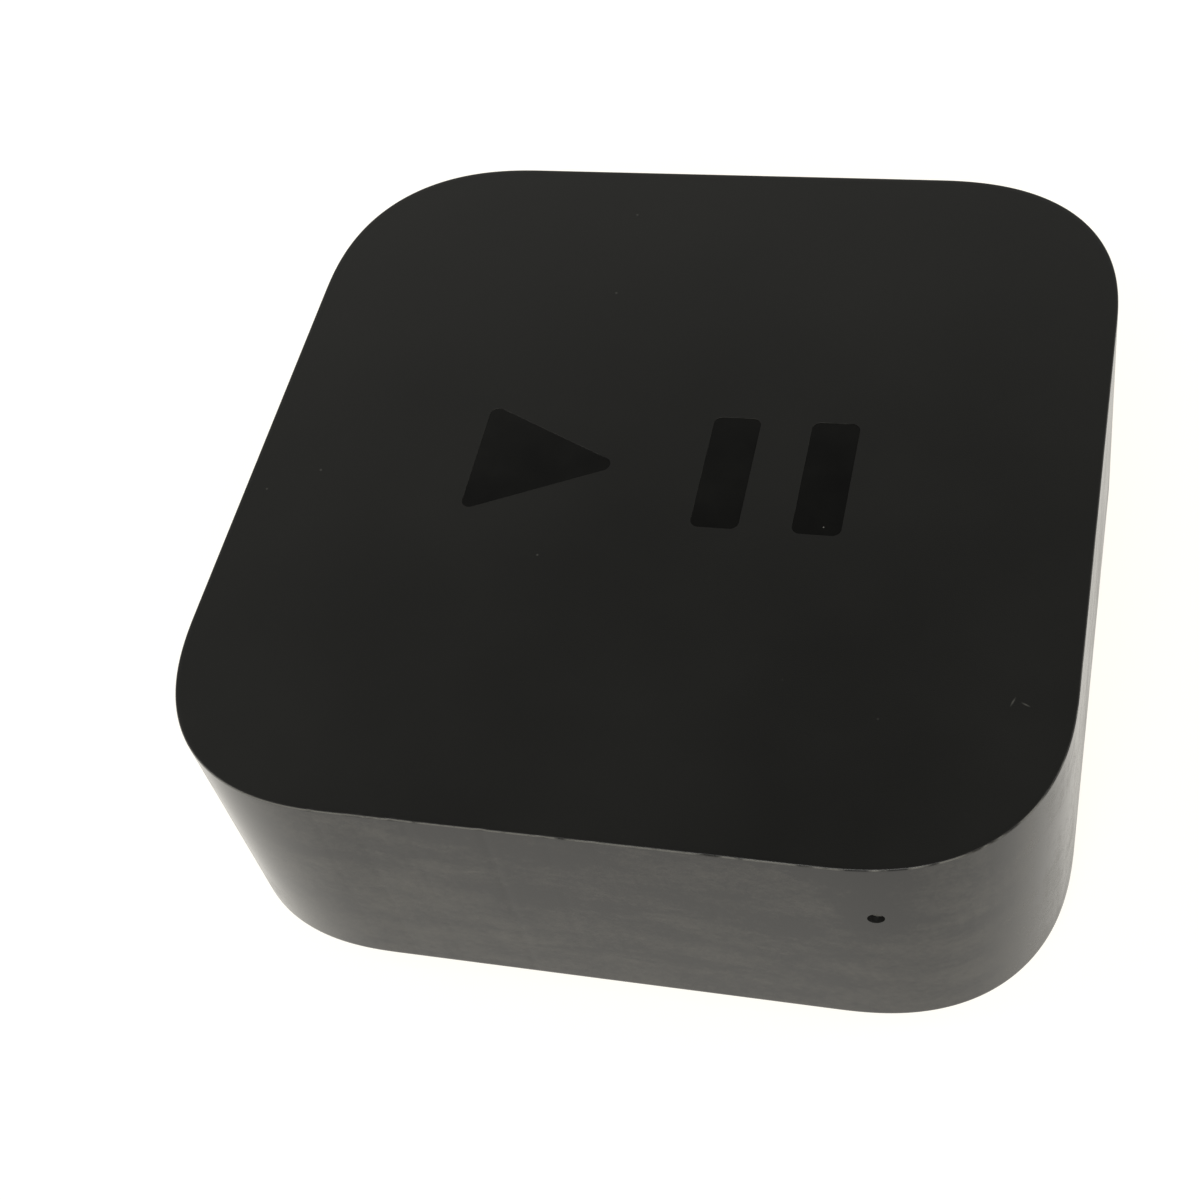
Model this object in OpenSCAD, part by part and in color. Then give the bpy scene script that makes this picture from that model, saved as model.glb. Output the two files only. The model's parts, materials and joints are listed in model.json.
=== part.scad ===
// Streaming media player: a square black case with rounded corners, a vented base
// that holds a small blower, a logic board, and a mains power supply under the top.
// The origin is the centre of the foot's underside. +Z is up, the front is at -Y
// and the sockets are at +Y. All sizes are in millimetres.

/* [Case] */
// Width and depth of the case
case_w = 98; // [98:0.5:104]
// Overall height, with the foot
case_h = 35; // [35:0.5:39]
// Height of the shell's rim above the table
rim_z = 3.4; // [3.2:0.1:3.6]
// How far each rounded corner reaches along a side
corner_reach = 23.5; // [22:0.5:25]
// Power of the corner's superellipse, 2 for a plain arc
corner_power = 2.44; // [2.2:0.02:2.8]
// Thickness of the side walls
wall = 2.2; // [2:0.1:2.4]
// Thickness of the top
roof = 2.4; // [2:0.1:2.6]
// Width of the polished symbol in the top
symbol_w = 44; // [30:1:50]
// Depth of the polished symbol
symbol_depth = 0.06; // [0.04:0.01:0.2]

/* [Base] */
// Side of the raised foot
foot_w = 76; // [72:1:77]
// Thickness of the rubber foot pad
pad_t = 0.9; // [0.7:0.1:1]
// Width of one air slot
slot_w = 1.5; // [1:0.1:2]
// Air slots along each straight side
side_slots = 11; // [7:2:13]
// Air slots round each corner
corner_slots = 6; // [4:1:7]

/* [Sockets] */
// Distance between the sockets' centres
socket_pitch = 17.5; // [17.5:0.1:18]
// Height of the mains and network sockets' centres
socket_z = 20.1; // [20:0.1:20.4]

/* [Blower] */
// Side of the blower's frame
fan_w = 60; // [60:0.5:61]
// Number of impeller blades
blades = 29; // [17:2:37]
// Radius of the impeller
impeller_r = 25.6; // [22:0.1:25.8]

/* [Indicator] */
// Place of the status light, right of centre
light_x = 31; // [28:0.5:34]
// Height of the status light
light_z = 25.2; // [23:0.1:27]

/* [Hidden] */
$fn = 48;

half = case_w / 2;
rear = half;
inner_half = half - wall;
roof_z = case_h - roof;

// rebate that seats the base cover
rim_wall = 1.2;
cover_half = half - rim_wall - 0.15;
cover_top = rim_z + 2.2;
cover_z = rim_z + 0.4;
foot_half = foot_w / 2;

// stack of parts, from the base up
fan_z = 5.2;
fan_h = 7;
sink_z = fan_z + fan_h;
sink_t = 1.8;
sink_top = sink_z + sink_t;
board_z = 16;
board_t = 1.2;
board_top = board_z + board_t;
board_half = 45;
power_z = 19.8;
power_t = 1.4;
power_top = power_z + power_t;
fin_z = 7;

// snap hooks and the ledges they catch
hook_w = 6;
hook_t = 1.2;
ledge_z = 7;
ledge_t = 0.9;
hook_at = 14;
hook_x = inner_half - ledge_t - 0.1 - hook_t;

// long screws at the corners
boss_at = 36.5;
boss_r = 3.5;
screw_r = 1.2;
hole_r = 1.25;
main_head_h = 1.6;
main_boss_depth = 10;

// screws of the power board
power_holes = [[-37, -26], [37, -26], [-37, 22.5], [37, 22.5]];
power_boss_r = 2.8;
power_screw_r = 0.95;

// screws of the blower
fan_at = 26.5;
fan_holes = [[-fan_at, -fan_at], [fan_at, -fan_at], [-fan_at, fan_at]];
fan_screw_r = 0.8;

// sockets
video_x = 0;
mains_x = socket_pitch;
net_x = -socket_pitch;
video_z = socket_z - 2.2;
mains_lobe_r = 4.4;
mains_lobe_at = 3.3;
mains_pin_at = 4.3;
mains_pin_r = 1.18;
mains_w = 19;
mains_h = 11.6;
mains_d = 16.4;
mains_recess = 12;
net_w = 15.6;
net_h = 11.6;
net_d = 15.6;
net_mouth_w = 11.8;
net_mouth_h = 6.9;
net_mouth_d = 11;
net_mouth_z = -0.9;
net_pitch = 1.02;
video_w = 15;
video_h = 5.9;
video_d = 11.6;
video_skin = 0.4;
video_pitch = 0.63;
socket_face = rear - 0.5;
inner_face = rear - wall;
video_back = socket_face - video_d;
net_back = socket_face - net_d;
mains_back = inner_face - mains_d;
mains_pin_sunk = 2.6;
shelf_y = 23.6;
tab_w = 2.2;
tab_t = 0.8;
tab_end = mains_back + 1.2;

// light source of the status light, and how far its guide's tip lies behind the front
led_y = 6 - rear;
tip_depth = 1;

// posts that carry power from the power board down to the logic board
post_holes = [[-39.5, -9], [-39.5, 5]];
post_r = 1.45;
post_bore_r = 1.1;

// aerials along the sides
antenna_x = 44.4;

// large parts of the power board
core_at = [-8, 8];
core_gap = 0.4;
choke_at = [29, -6];

// thermal stack under the processor
chip_at = [2, -8];
chip_w = 17;
chip_t = 1;
shield_w = 40;
shield_d = 34;
shield_at = [2, -8];
shield_skin = 0.2;
lid_z = sink_top + 0.2;

// ribbon of the blower
flex_w = 6;
flex_t = 0.15;
flex_z = 11;
flex_x = -30.3;
circuit_end = -24;
flex_plug_h = 1.1;

// fixed part of the blower
cavity_r = 27.2;
bearing_r = 2.2;
seat_r = 3.4;
circuit_z = 10.8;

// moving part of the blower
hub_r = 12;
hub_floor_z = 6.3;
hub_floor_t = 0.8;
blade_root_r = 13;
blade_z = hub_floor_z + 0.2;
web_z = 10;
shaft_r = 0.75;

// colours
gloss_black = [0.03, 0.03, 0.03];
matte_black = [0.07, 0.07, 0.07];
rubber_black = [0.1, 0.1, 0.1];
steel = [0.72, 0.72, 0.74];
gold = [0.85, 0.65, 0.25];
board_green = [0.06, 0.2, 0.12];
chip_black = [0.1, 0.1, 0.11];
aluminium = [0.75, 0.76, 0.78];
copper = [0.72, 0.42, 0.22];
ferrite = [0.22, 0.21, 0.21];

// one corner of the outline, as a superellipse from 0 to 90 degrees
function corner_point(reach, a) =
    [reach * pow(cos(a), 2 / corner_power), reach * pow(sin(a), 2 / corner_power)];

// a point turned by quarter turns
function quarter(p, q) =
    q == 0 ? p : q == 1 ? [-p[1], p[0]] : q == 2 ? [-p[0], -p[1]] : [p[1], -p[0]];

// outline of the case or of a part that follows it, inset from the outside
function outline(h, steps = 24) =
    let (reach = max(corner_reach - (half - h), 4), flat = h - reach)
    [for (q = [0 : 3], i = [0 : steps])
        let (c = corner_point(reach, 90 * i / steps))
        quarter([flat + c[0], flat + c[1]], q)];

// an outline given by its corners, anticlockwise, with each corner rounded to r
function rounded(points, r, steps = 6) =
    [for (i = [0 : len(points) - 1])
        let (corner = points[i],
            before = points[(i + len(points) - 1) % len(points)] - corner,
            after = points[(i + 1) % len(points)] - corner,
            u = before / norm(before),
            v = after / norm(after),
            turn = acos(u * v),
            centre = corner + (u + v) / norm(u + v) * r / sin(turn / 2),
            foot = corner + u * r / tan(turn / 2) - centre,
            start = atan2(foot[1], foot[0]))
        for (k = [0 : steps])
            let (a = start + (180 - turn) * k / steps)
            centre + r * [cos(a), sin(a)]];

function rectangle(x, y, w, d) = [[x, y], [x + w, y], [x + w, y + d], [x, y + d]];

// place and direction of each air slot: along the sides, then round the corners
slot_ring = 41.7;
ring_reach = corner_reach - (half - slot_ring);
ring_flat = slot_ring - ring_reach;
slot_stations = concat(
    [for (q = [0 : 3], i = [0 : side_slots - 1])
        let (s = (i / (side_slots - 1) - 0.5) * 2 * (ring_flat - 1.5))
        [quarter([slot_ring, s], q), 90 * q]],
    [for (q = [0 : 3], i = [0 : corner_slots - 1])
        let (a = 90 * (i + 0.75) / (corner_slots + 0.5),
            c = corner_point(ring_reach, a))
        [quarter([ring_flat + c[0], ring_flat + c[1]], q), 90 * q + a]]);

module at_corners(d) {
    for (x = [-1, 1], y = [-1, 1]) translate([x * d, y * d, 0]) children();
}

module at_points(points) {
    for (p = points) translate([p[0], p[1], 0]) children();
}

module plate(w, d, t, r) {
    linear_extrude(t) polygon(rounded(rectangle(-w / 2, -d / 2, w, d), r));
}

module shaped_plate(h, t) {
    linear_extrude(t) polygon(outline(h));
}

// cylinder along Y that starts at y = 0
module along_y(r, l) {
    rotate([-90, 0, 0]) cylinder(r = r, h = l);
}

module block(w, d, h) {
    translate([-w / 2, -d / 2, 0]) cube([w, d, h]);
}

// figure-eight mains profile, extruded along Y from y = 0
module mains_profile(grow, l) {
    for (s = [-1, 1]) translate([s * mains_lobe_at, 0, 0]) along_y(mains_lobe_r + grow, l);
    translate([-mains_lobe_at, 0, -mains_lobe_r - grow])
        cube([2 * mains_lobe_at, l, 2 * (mains_lobe_r + grow)]);
}

// video socket's profile: a flat-topped tray with two slanted lower corners
module video_profile(grow, l) {
    w = video_w / 2 + grow;
    h = video_h / 2 + grow;
    cut = 2.1;
    rotate([90, 0, 0]) translate([0, 0, -l]) linear_extrude(l)
        polygon([[-w, h], [-w, -h + cut + 0.4], [-w + 0.5, -h + cut],
            [-w + cut, -h], [w - cut, -h], [w - 0.5, -h + cut],
            [w, -h + cut + 0.4], [w, h]]);
}

// play-and-pause symbol, in the plane of the top
module symbol() {
    h = symbol_w * 0.37;
    play_w = symbol_w * 0.4;
    bar_w = symbol_w * 0.125;
    bar_gap = symbol_w * 0.135;
    left = -symbol_w / 2;
    polygon(rounded([[left, -h / 2], [left + play_w, 0], [left, h / 2]], 1));
    for (i = [1, 2])
        polygon(rounded(rectangle(-left - i * bar_w - (i - 1) * bar_gap, -h / 2, bar_w, h), 1));
}

module top_shell() {
    color(gloss_black) union() {
        difference() {
            translate([0, 0, rim_z]) shaped_plate(half, case_h - rim_z);
            translate([0, 0, rim_z - 1]) shaped_plate(inner_half, roof_z - rim_z + 1);
            translate([0, 0, rim_z - 1]) shaped_plate(half - rim_wall, cover_top - rim_z + 1);
            translate([0, 0, case_h - symbol_depth]) linear_extrude(1) symbol();
            translate([mains_x, inner_face - 1, socket_z]) mains_profile(0.1, wall + 2);
            translate([net_x - net_w / 2 - 0.2, inner_face - 1, socket_z - net_h / 2 - 0.2])
                cube([net_w + 0.4, wall + 2, net_h + 0.4]);
            translate([video_x, inner_face - 1, video_z]) video_profile(0.2, wall + 2);
            translate([light_x, -rear - 1, light_z]) along_y(0.9, wall + 3);
        }
        // ledges for the base cover's hooks
        for (q = [0 : 3], s = [-1, 1])
            rotate(90 * q) translate([inner_half - ledge_t, s * hook_at - 4, ledge_z])
                cube([ledge_t + 0.3, 8, 1]);
        // corner bosses for the long screws
        at_corners(boss_at) difference() {
            translate([0, 0, board_top]) cylinder(r = boss_r, h = roof_z - board_top + 0.2);
            translate([0, 0, board_top - 1]) cylinder(r = hole_r, h = main_boss_depth + 1);
        }
        // bosses for the power board
        at_points(power_holes) difference() {
            translate([0, 0, power_top]) cylinder(r = power_boss_r, h = roof_z - power_top + 0.2);
            translate([0, 0, power_top - 1]) cylinder(r = power_screw_r + 0.05, h = 8);
        }
        // webs that brace the corner bosses
        for (q = [0 : 3]) rotate(90 * q + 45)
            translate([boss_at * sqrt(2) + boss_r - 0.4, -0.7, board_top + 4])
                cube([4.4, 1.4, roof_z - board_top - 3.9]);
    }
}

module base_cover() {
    color(matte_black) difference() {
        union() {
            translate([0, 0, cover_z]) shaped_plate(cover_half, cover_top - cover_z);
            translate([0, 0, pad_t - 0.4]) shaped_plate(foot_half, cover_z - pad_t + 0.5);
            // snap hooks
            for (q = [0 : 3], s = [-1, 1])
                rotate(90 * q) translate([hook_x, s * hook_at - hook_w / 2, 0]) {
                    translate([0, 0, cover_top - 0.2]) cube([hook_t, hook_w, ledge_z + 2.4 - cover_top]);
                    translate([hook_t - 0.2, 0, ledge_z + 1.05]) cube([0.9, hook_w, 1.15]);
                }
        }
        // hollow of the foot, under the blower
        translate([0, 0, 2.1]) shaped_plate(foot_half - 1.6, cover_top);
        // seat of the rubber pad
        translate([0, 0, -1]) shaped_plate(foot_half - 2, pad_t + 1);
        // air slots
        for (s = slot_stations)
            translate([s[0][0], s[0][1], cover_z - 1]) rotate(s[1]) {
                translate([-2, -slot_w / 2, 0]) cube([4, slot_w, 4]);
                for (e = [-2, 2]) translate([e, 0, 0]) cylinder(d = slot_w, h = 4, $fn = 24);
            }
    }
}

module foot_pad() {
    color(rubber_black) difference() {
        shaped_plate(foot_half - 2.1, pad_t);
        translate([0, 0, -1]) shaped_plate(foot_half - 9, 1.3);
    }
}

module mains_inlet_housing() {
    color(chip_black) difference() {
        union() {
            translate([mains_x - mains_w / 2, mains_back, socket_z - mains_h / 2])
                cube([mains_w, mains_d - 0.05, mains_h]);
            // shelf that rests on the power board
            translate([mains_x - mains_w / 2, shelf_y, power_top])
                cube([mains_w, mains_back - shelf_y + 0.2, 3]);
        }
        translate([mains_x, inner_face - mains_recess, socket_z]) mains_profile(0, mains_recess + 1);
        for (s = [-1, 1]) translate([mains_x + s * mains_pin_at, 0, 0]) {
            translate([0, mains_back - 1, socket_z]) along_y(mains_pin_r + 0.02, mains_d);
            translate([-tab_w / 2, shelf_y - 1, power_top - 0.2])
                cube([tab_w, tab_end - shelf_y + 1, tab_t + 0.2]);
        }
    }
}

// pins with round tips, and flat tabs that reach the power board
module mains_inlet_pins() {
    color(steel) for (s = [-1, 1]) translate([mains_x + s * mains_pin_at, 0, 0]) {
        translate([0, mains_back, socket_z]) along_y(mains_pin_r, mains_d - mains_pin_sunk);
        translate([0, inner_face - mains_pin_sunk, socket_z]) sphere(r = mains_pin_r);
        translate([-tab_w / 2, shelf_y, power_top]) cube([tab_w, tab_end - shelf_y, tab_t]);
    }
}

module video_socket_shell() {
    color(steel) {
        translate([video_x, video_back, video_z]) difference() {
            video_profile(0, video_d);
            translate([0, -1, 0]) video_profile(-video_skin, video_d + 2);
        }
        // feet behind the shell, soldered to the board
        for (s = [0, 1]) translate([video_x, video_back - 2, board_top]) mirror([s, 0, 0]) {
            translate([video_w / 2 - video_skin, 0, 0]) cube([video_skin, 2.6, 2.2]);
            translate([video_w / 2 - 1.6, 0, 0]) cube([1.6, 1.6, 0.3]);
        }
    }
}

module video_socket_insert() {
    back = 3.2;
    color(chip_black) difference() {
        translate([video_x, video_back, video_z]) union() {
            video_profile(-video_skin - 0.02, back);
            translate([-6.3, back - 0.2, -0.1]) cube([12.6, video_d - back - 1, 0.9]);
        }
        for (i = [-9 : 9])
            translate([video_x + i * video_pitch - 0.16, video_back + back, video_z - 0.2])
                cube([0.32, video_d - back - 1.6, 0.25]);
    }
}

module video_socket_contacts() {
    color(gold) for (i = [-9 : 9])
        translate([video_x + i * video_pitch - 0.14, video_back + 3.25, video_z - 0.16])
            cube([0.28, video_d - 5, 0.2]);
}

module network_jack_housing() {
    color(chip_black) translate([net_x, net_back, socket_z]) difference() {
        translate([-net_w / 2 + 0.3, 0.3, -net_h / 2 + 0.3])
            cube([net_w - 0.6, net_d - 0.5, net_h - 0.6]);
        // mouth for the plug
        translate([-net_mouth_w / 2, net_d - net_mouth_d, net_mouth_z - net_mouth_h / 2])
            cube([net_mouth_w, net_mouth_d + 1, net_mouth_h]);
        // stepped slot for the plug's latch
        translate([-3, net_d - 9, net_mouth_z + net_mouth_h / 2 - 0.5]) cube([6, 10, 1.9]);
        translate([-1.9, net_d - 9, net_mouth_z + net_mouth_h / 2 + 1]) cube([3.8, 10, 1.4]);
        // grooves of the eight contacts
        for (i = [-3.5 : 3.5])
            translate([i * net_pitch - 0.3, net_d - net_mouth_d - 1, net_mouth_z - net_mouth_h / 2 - 0.5])
                cube([0.6, net_mouth_d - 0.6, 1]);
    }
}

module network_jack_contacts() {
    groove_z = net_mouth_z - net_mouth_h / 2 - 0.5;
    color(gold) for (i = [-3.5 : 3.5])
        translate([net_x + i * net_pitch - 0.22, socket_face - net_mouth_d - 0.9, socket_z + groove_z]) {
            cube([0.44, 9.6, 0.3]);
            translate([0, 9.3, 0.02]) rotate([157, 0, 0]) translate([0, 0, -0.3])
                cube([0.44, 6.6, 0.3]);
        }
}

module network_jack_shield() {
    color(steel) {
        translate([net_x, net_back, socket_z]) difference() {
            translate([-net_w / 2, 0, -net_h / 2]) cube([net_w, net_d - 1.6, net_h]);
            translate([-net_w / 2 + 0.28, 0.28, -net_h / 2 + 0.28])
                cube([net_w - 0.56, net_d, net_h - 0.56]);
        }
        // solder wings on the board
        for (s = [-1, 1], y = [2, 9])
            translate([net_x + s * (net_w / 2 + 0.7) - 0.7, net_back + y, board_top])
                cube([1.4, 2.4, 0.3]);
    }
}

module light_guide() {
    color([0.8, 0.82, 0.84]) {
        translate([light_x, tip_depth - rear, light_z]) along_y(0.85, 4.6);
        translate([light_x, led_y, board_top + 1]) block(2.4, 2.4, light_z - board_top + 0.2);
        // legs astride the light source
        for (s = [-1, 1]) translate([light_x + 1.8 * s, led_y, board_top]) block(1.3, 2.4, 2.4);
    }
}

module status_led() {
    color("white") translate([light_x, led_y, board_top]) block(1.6, 0.8, 0.7);
}

module ir_receiver() {
    color([0.12, 0.05, 0.08]) translate([23, -41.5, board_top + 0.3]) {
        block(5, 3.2, 6);
        translate([0, -1.6, 3.4]) sphere(r = 1.5);
    }
}

module ir_receiver_can() {
    color(steel) translate([23, -41.5, board_top]) {
        difference() {
            translate([0, 0.35, 0]) block(5.8, 4, 6.7);
            translate([0, -0.35, 0.25]) block(5.2, 4.6, 6.15);
        }
        for (z = [1, 2.2])
            translate([-2.9, -1.6, z]) cube([0.3, 0.2, 0.6]);
    }
}

// board outline with notches for the three sockets
module board_outline(h) {
    difference() {
        polygon(outline(h));
        translate([net_x - net_w / 2 - 0.3, net_back - 0.3]) square([net_w + 0.6, 40]);
        translate([video_x - video_w / 2 - 0.25, video_back - 0.3]) square([video_w + 0.5, 40]);
        translate([mains_x - mains_w / 2 - 0.3, mains_back - 0.3]) square([mains_w + 0.6, 40]);
    }
}

module logic_board() {
    color(board_green) difference() {
        translate([0, 0, board_z]) linear_extrude(board_t) board_outline(board_half);
        at_corners(boss_at) translate([0, 0, board_z - 1]) cylinder(r = screw_r + 0.15, h = 4);
        at_points(post_holes) translate([0, 0, board_z - 1]) cylinder(r = post_bore_r, h = 4);
    }
}

module main_processor() {
    color(chip_black) translate([chip_at[0], chip_at[1], board_z - chip_t]) {
        translate([0, 0, 0.35]) block(chip_w, chip_w, chip_t - 0.35);
        block(12, 12, 0.35);
    }
}

module memory_chips() {
    color(chip_black) for (y = [-16.5, -1.5])
        translate([17, y, board_z - 0.9]) block(8, 11, 0.9);
}

module flash_chip() {
    color(chip_black) translate([-13, -10, board_z - 0.9]) block(8, 14, 0.9);
}

module power_manager() {
    color(chip_black) translate([-26, 12, board_top]) block(8, 8, 0.8);
}

module video_converter() {
    color(chip_black) translate([1, 22, board_top]) block(7, 7, 0.8);
}

module network_controller() {
    color(chip_black) translate([-10, 22, board_top]) block(8, 8, 0.8);
}

module network_transformer() {
    color(chip_black) translate([-21, 24, board_top]) block(9, 7, 1.6);
}

module wireless_module() {
    color(steel) translate([31, -4, board_top]) {
        block(13, 15, 0.4);
        translate([0, 0, 0.35]) block(12.2, 14.2, 1.05);
    }
}

module power_inductors() {
    color(ferrite) for (i = [0 : 2], j = [0 : 1])
        translate([-34 + j * 6, -30 + i * 6, board_top]) block(4.4, 4.4, 1.5);
}

// rows of small capacitors around the chips, on top of the board
module ceramic_capacitors() {
    color([0.55, 0.42, 0.28]) {
        for (i = [0 : 13], j = [0 : 3])
            translate([-20 + i * 2.6, -34 + j * 3.2, board_top]) block(1.6, 0.8, 0.8);
        for (i = [0 : 6], s = [-1, 1])
            translate([-34.5 + 2.4 * i, 12 + s * 6, board_top]) block(0.8, 1.6, 0.8);
        for (i = [0 : 9])
            translate([-14 + 2.6 * i, 16, board_top]) block(1, 0.5, 0.5);
    }
}

module polymer_capacitors() {
    color([0.15, 0.15, 0.16]) for (i = [0 : 3])
        translate([-22 + i * 5, -16, board_top]) block(3.5, 2.8, 1.5);
}

module clock_crystals() {
    color(steel) for (p = [[8, -18], [8, 26], [22, -22]])
        translate([p[0], p[1], board_top]) block(3.2, 2.5, 0.7);
}

module shield_fence() {
    t = shield_skin;
    color(steel) translate([shield_at[0], shield_at[1], lid_z + t]) difference() {
        block(shield_w, shield_d, board_z - lid_z - t);
        translate([0, 0, -1]) block(shield_w - 2 * t, shield_d - 2 * t, 4);
    }
}

module shield_lid() {
    color(steel) translate([shield_at[0], shield_at[1], lid_z]) difference() {
        block(shield_w + 0.5, shield_d + 0.5, 1);
        translate([0, 0, shield_skin]) block(shield_w + 0.05, shield_d + 0.05, 1);
    }
}

// soft pads that carry heat from chip to lid, from lid to heat sink, and up to the roof
module thermal_pads() {
    color([0.55, 0.6, 0.68]) {
        translate([chip_at[0], chip_at[1], lid_z + shield_skin])
            block(12, 12, board_z - chip_t - lid_z - shield_skin);
        translate([chip_at[0], chip_at[1], sink_top]) block(16, 16, lid_z - sink_top);
        translate([core_at[0], core_at[1], roof_z - core_gap]) block(16, 14, core_gap);
    }
}

module heat_sink() {
    side = 44;
    color(aluminium) difference() {
        union() {
            translate([0, 0, sink_z]) shaped_plate(side, sink_t);
            at_corners(boss_at) translate([0, 0, sink_z]) cylinder(r = 3, h = board_z - sink_z);
            // fins behind the blower's outlet and along both sides
            for (i = [-11 : 11])
                translate([i * 2.3 - 0.4, 31.5, fin_z]) cube([0.8, 11.5, sink_z - fin_z + 0.2]);
            for (s = [0, 180], i = [-10 : 10])
                rotate(s) translate([31.5, i * 2.3 - 0.4, fin_z])
                    cube([11.5, 0.8, sink_z - fin_z + 0.2]);
        }
        at_corners(boss_at) translate([0, 0, sink_z - 1]) cylinder(r = screw_r + 0.15, h = 8);
        at_points(fan_holes) translate([0, 0, sink_z - 1]) cylinder(r = fan_screw_r + 0.05, h = 8);
        // window for the blower's ribbon
        translate([-31.2, -flex_w / 2 - 0.3, sink_z - 1]) cube([1.4, flex_w + 0.6, 4]);
    }
}

module fan_frame() {
    floor_z = sink_z - 0.8;
    color(chip_black) difference() {
        union() {
            difference() {
                translate([0, 0, fan_z + 0.4]) plate(fan_w, fan_w, fan_h - 0.4, 8);
                translate([0, 0, fan_z]) cylinder(r = cavity_r, h = floor_z - fan_z, $fn = 96);
                // outlet, towards the rear
                translate([-4, 0, fan_z]) cube([31, 40, floor_z - fan_z]);
            }
            // seat of the bearing
            translate([0, 0, 8]) cylinder(r = seat_r, h = sink_z - 8);
        }
        translate([0, 0, 7]) cylinder(r = bearing_r, h = floor_z - 7);
        at_points(fan_holes) {
            translate([0, 0, fan_z]) cylinder(r = fan_screw_r + 0.1, h = 9);
            translate([0, 0, fan_z]) cylinder(r = 1.8, h = 4);
        }
        // slot for the ribbon
        translate([-31, -flex_w / 2 - 0.1, flex_z - 0.1]) cube([8, flex_w + 0.2, flex_t + 0.2]);
    }
}

module fan_cover() {
    color(steel) translate([0, 0, fan_z]) difference() {
        plate(fan_w, fan_w, 0.4, 8);
        translate([0, 0, -1]) cylinder(r = 18, h = 3, $fn = 96);
        at_points(fan_holes) translate([0, 0, -1]) cylinder(r = 1.9, h = 3);
    }
}

module fan_bearing() {
    color(gold) difference() {
        translate([0, 0, 7.6]) cylinder(r = bearing_r, h = sink_z - 0.8 - 7.6);
        translate([0, 0, 7]) cylinder(r = shaft_r + 0.03, h = sink_z);
    }
}

module fan_stator() {
    color(ferrite) difference() {
        translate([0, 0, 8.2]) union() {
            cylinder(r = 4.9, h = 2);
            for (i = [0 : 5]) rotate(60 * i) {
                translate([0, -0.8, 0]) cube([8.4, 1.6, 2]);
                translate([7.6, -2.6, 0]) cube([0.9, 5.2, 2]);
            }
        }
        translate([0, 0, 7]) cylinder(r = seat_r, h = 5);
    }
}

module fan_coils() {
    color(copper) for (i = [0 : 5]) rotate(60 * i)
        difference() {
            translate([5.1, -1.9, 7.7]) cube([2.4, 3.8, circuit_z - 7.7]);
            translate([5, -0.8, 8.2]) cube([3, 1.6, 2]);
        }
}

module fan_circuit() {
    color(board_green) difference() {
        translate([0, 0, circuit_z]) union() {
            cylinder(r = 9.4, h = 0.6);
            translate([circuit_end, -flex_w / 2, 0]) cube([20, flex_w, 0.6]);
        }
        translate([0, 0, circuit_z - 1]) cylinder(r = seat_r, h = 3);
    }
}

module impeller_blade() {
    lean = 38;
    thick = 0.55;
    steps = 5;
    tip_r = impeller_r - 0.3;
    curve = [for (i = [0 : steps])
        let (r = blade_root_r + (tip_r - blade_root_r) * i / steps,
            a = lean * pow(i / steps, 0.8))
        [r * cos(a), r * sin(a)]];
    back = [for (i = [steps : -1 : 0])
        let (p = curve[i], r = norm(p), a = atan2(p[1], p[0]) + thick / r * 180 / PI)
        [r * cos(a), r * sin(a)]];
    linear_extrude(web_z + 0.3 - blade_z) polygon(concat(curve, back));
}

module impeller() {
    color(matte_black) {
        difference() {
            union() {
                translate([0, 0, hub_floor_z]) cylinder(r = hub_r, h = web_z + 0.3 - hub_floor_z);
                translate([0, 0, web_z]) cylinder(r = impeller_r, h = 0.5, $fn = 96);
            }
            translate([0, 0, hub_floor_z + hub_floor_t]) cylinder(r = hub_r - 1.1, h = 6);
            translate([0, 0, hub_floor_z - 1]) cylinder(r = shaft_r, h = 4);
        }
        for (i = [0 : blades - 1]) rotate(360 * i / blades)
            translate([0, 0, blade_z]) impeller_blade();
    }
}

module rotor_magnet() {
    color(ferrite) difference() {
        translate([0, 0, hub_floor_z + hub_floor_t]) cylinder(r = hub_r - 1.15, h = 3.2);
        translate([0, 0, 6]) cylinder(r = 9.2, h = 6);
    }
}

module fan_shaft() {
    color(steel) translate([0, 0, hub_floor_z]) cylinder(r = shaft_r - 0.005, h = 4.8);
}

// flat ribbon from the blower's circuit, up through the heat sink to its socket
module fan_flex() {
    color([0.6, 0.42, 0.12]) {
        translate([flex_x, -flex_w / 2, flex_z]) cube([circuit_end - flex_x, flex_w, flex_t]);
        translate([flex_x, -flex_w / 2, flex_z]) cube([flex_t, flex_w, board_z - flex_plug_h - flex_z]);
    }
}

module fan_socket() {
    color([0.85, 0.83, 0.76]) translate([flex_x + 0.5, 0, board_z - flex_plug_h])
        block(2.6, 8, flex_plug_h);
}

module socket_screw(shank, length, head, head_h) {
    difference() {
        union() {
            cylinder(r = head, h = head_h);
            cylinder(r = shank, h = head_h + length);
        }
        translate([0, 0, -1]) cylinder(r = head * 0.5, h = head_h * 0.6 + 1, $fn = 6);
    }
}

module fan_screws() {
    color(steel) at_points(fan_holes)
        translate([0, 0, fan_z + 3]) socket_screw(fan_screw_r, 4.6, 1.5, 1);
}

module main_screws() {
    color(steel) at_corners(boss_at)
        translate([0, 0, sink_z - main_head_h]) socket_screw(screw_r, 12, 2.4, main_head_h);
}

module antenna_carriers() {
    color(chip_black) for (s = [-1, 1]) translate([s * antenna_x, 0, board_top]) {
        block(2.2, 30, 12.5);
        translate([-s * 0.6, 0, 0]) block(3, 8, 2);
    }
}

module antenna_plates() {
    color(copper) for (s = [-1, 1]) translate([s * (antenna_x + 1.2), 0, board_top + 3]) {
        block(0.2, 28, 3);
        translate([0, 10, 3]) block(0.2, 8, 5.5);
        translate([0, -8, 3]) block(0.2, 3, 5.5);
    }
}

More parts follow.
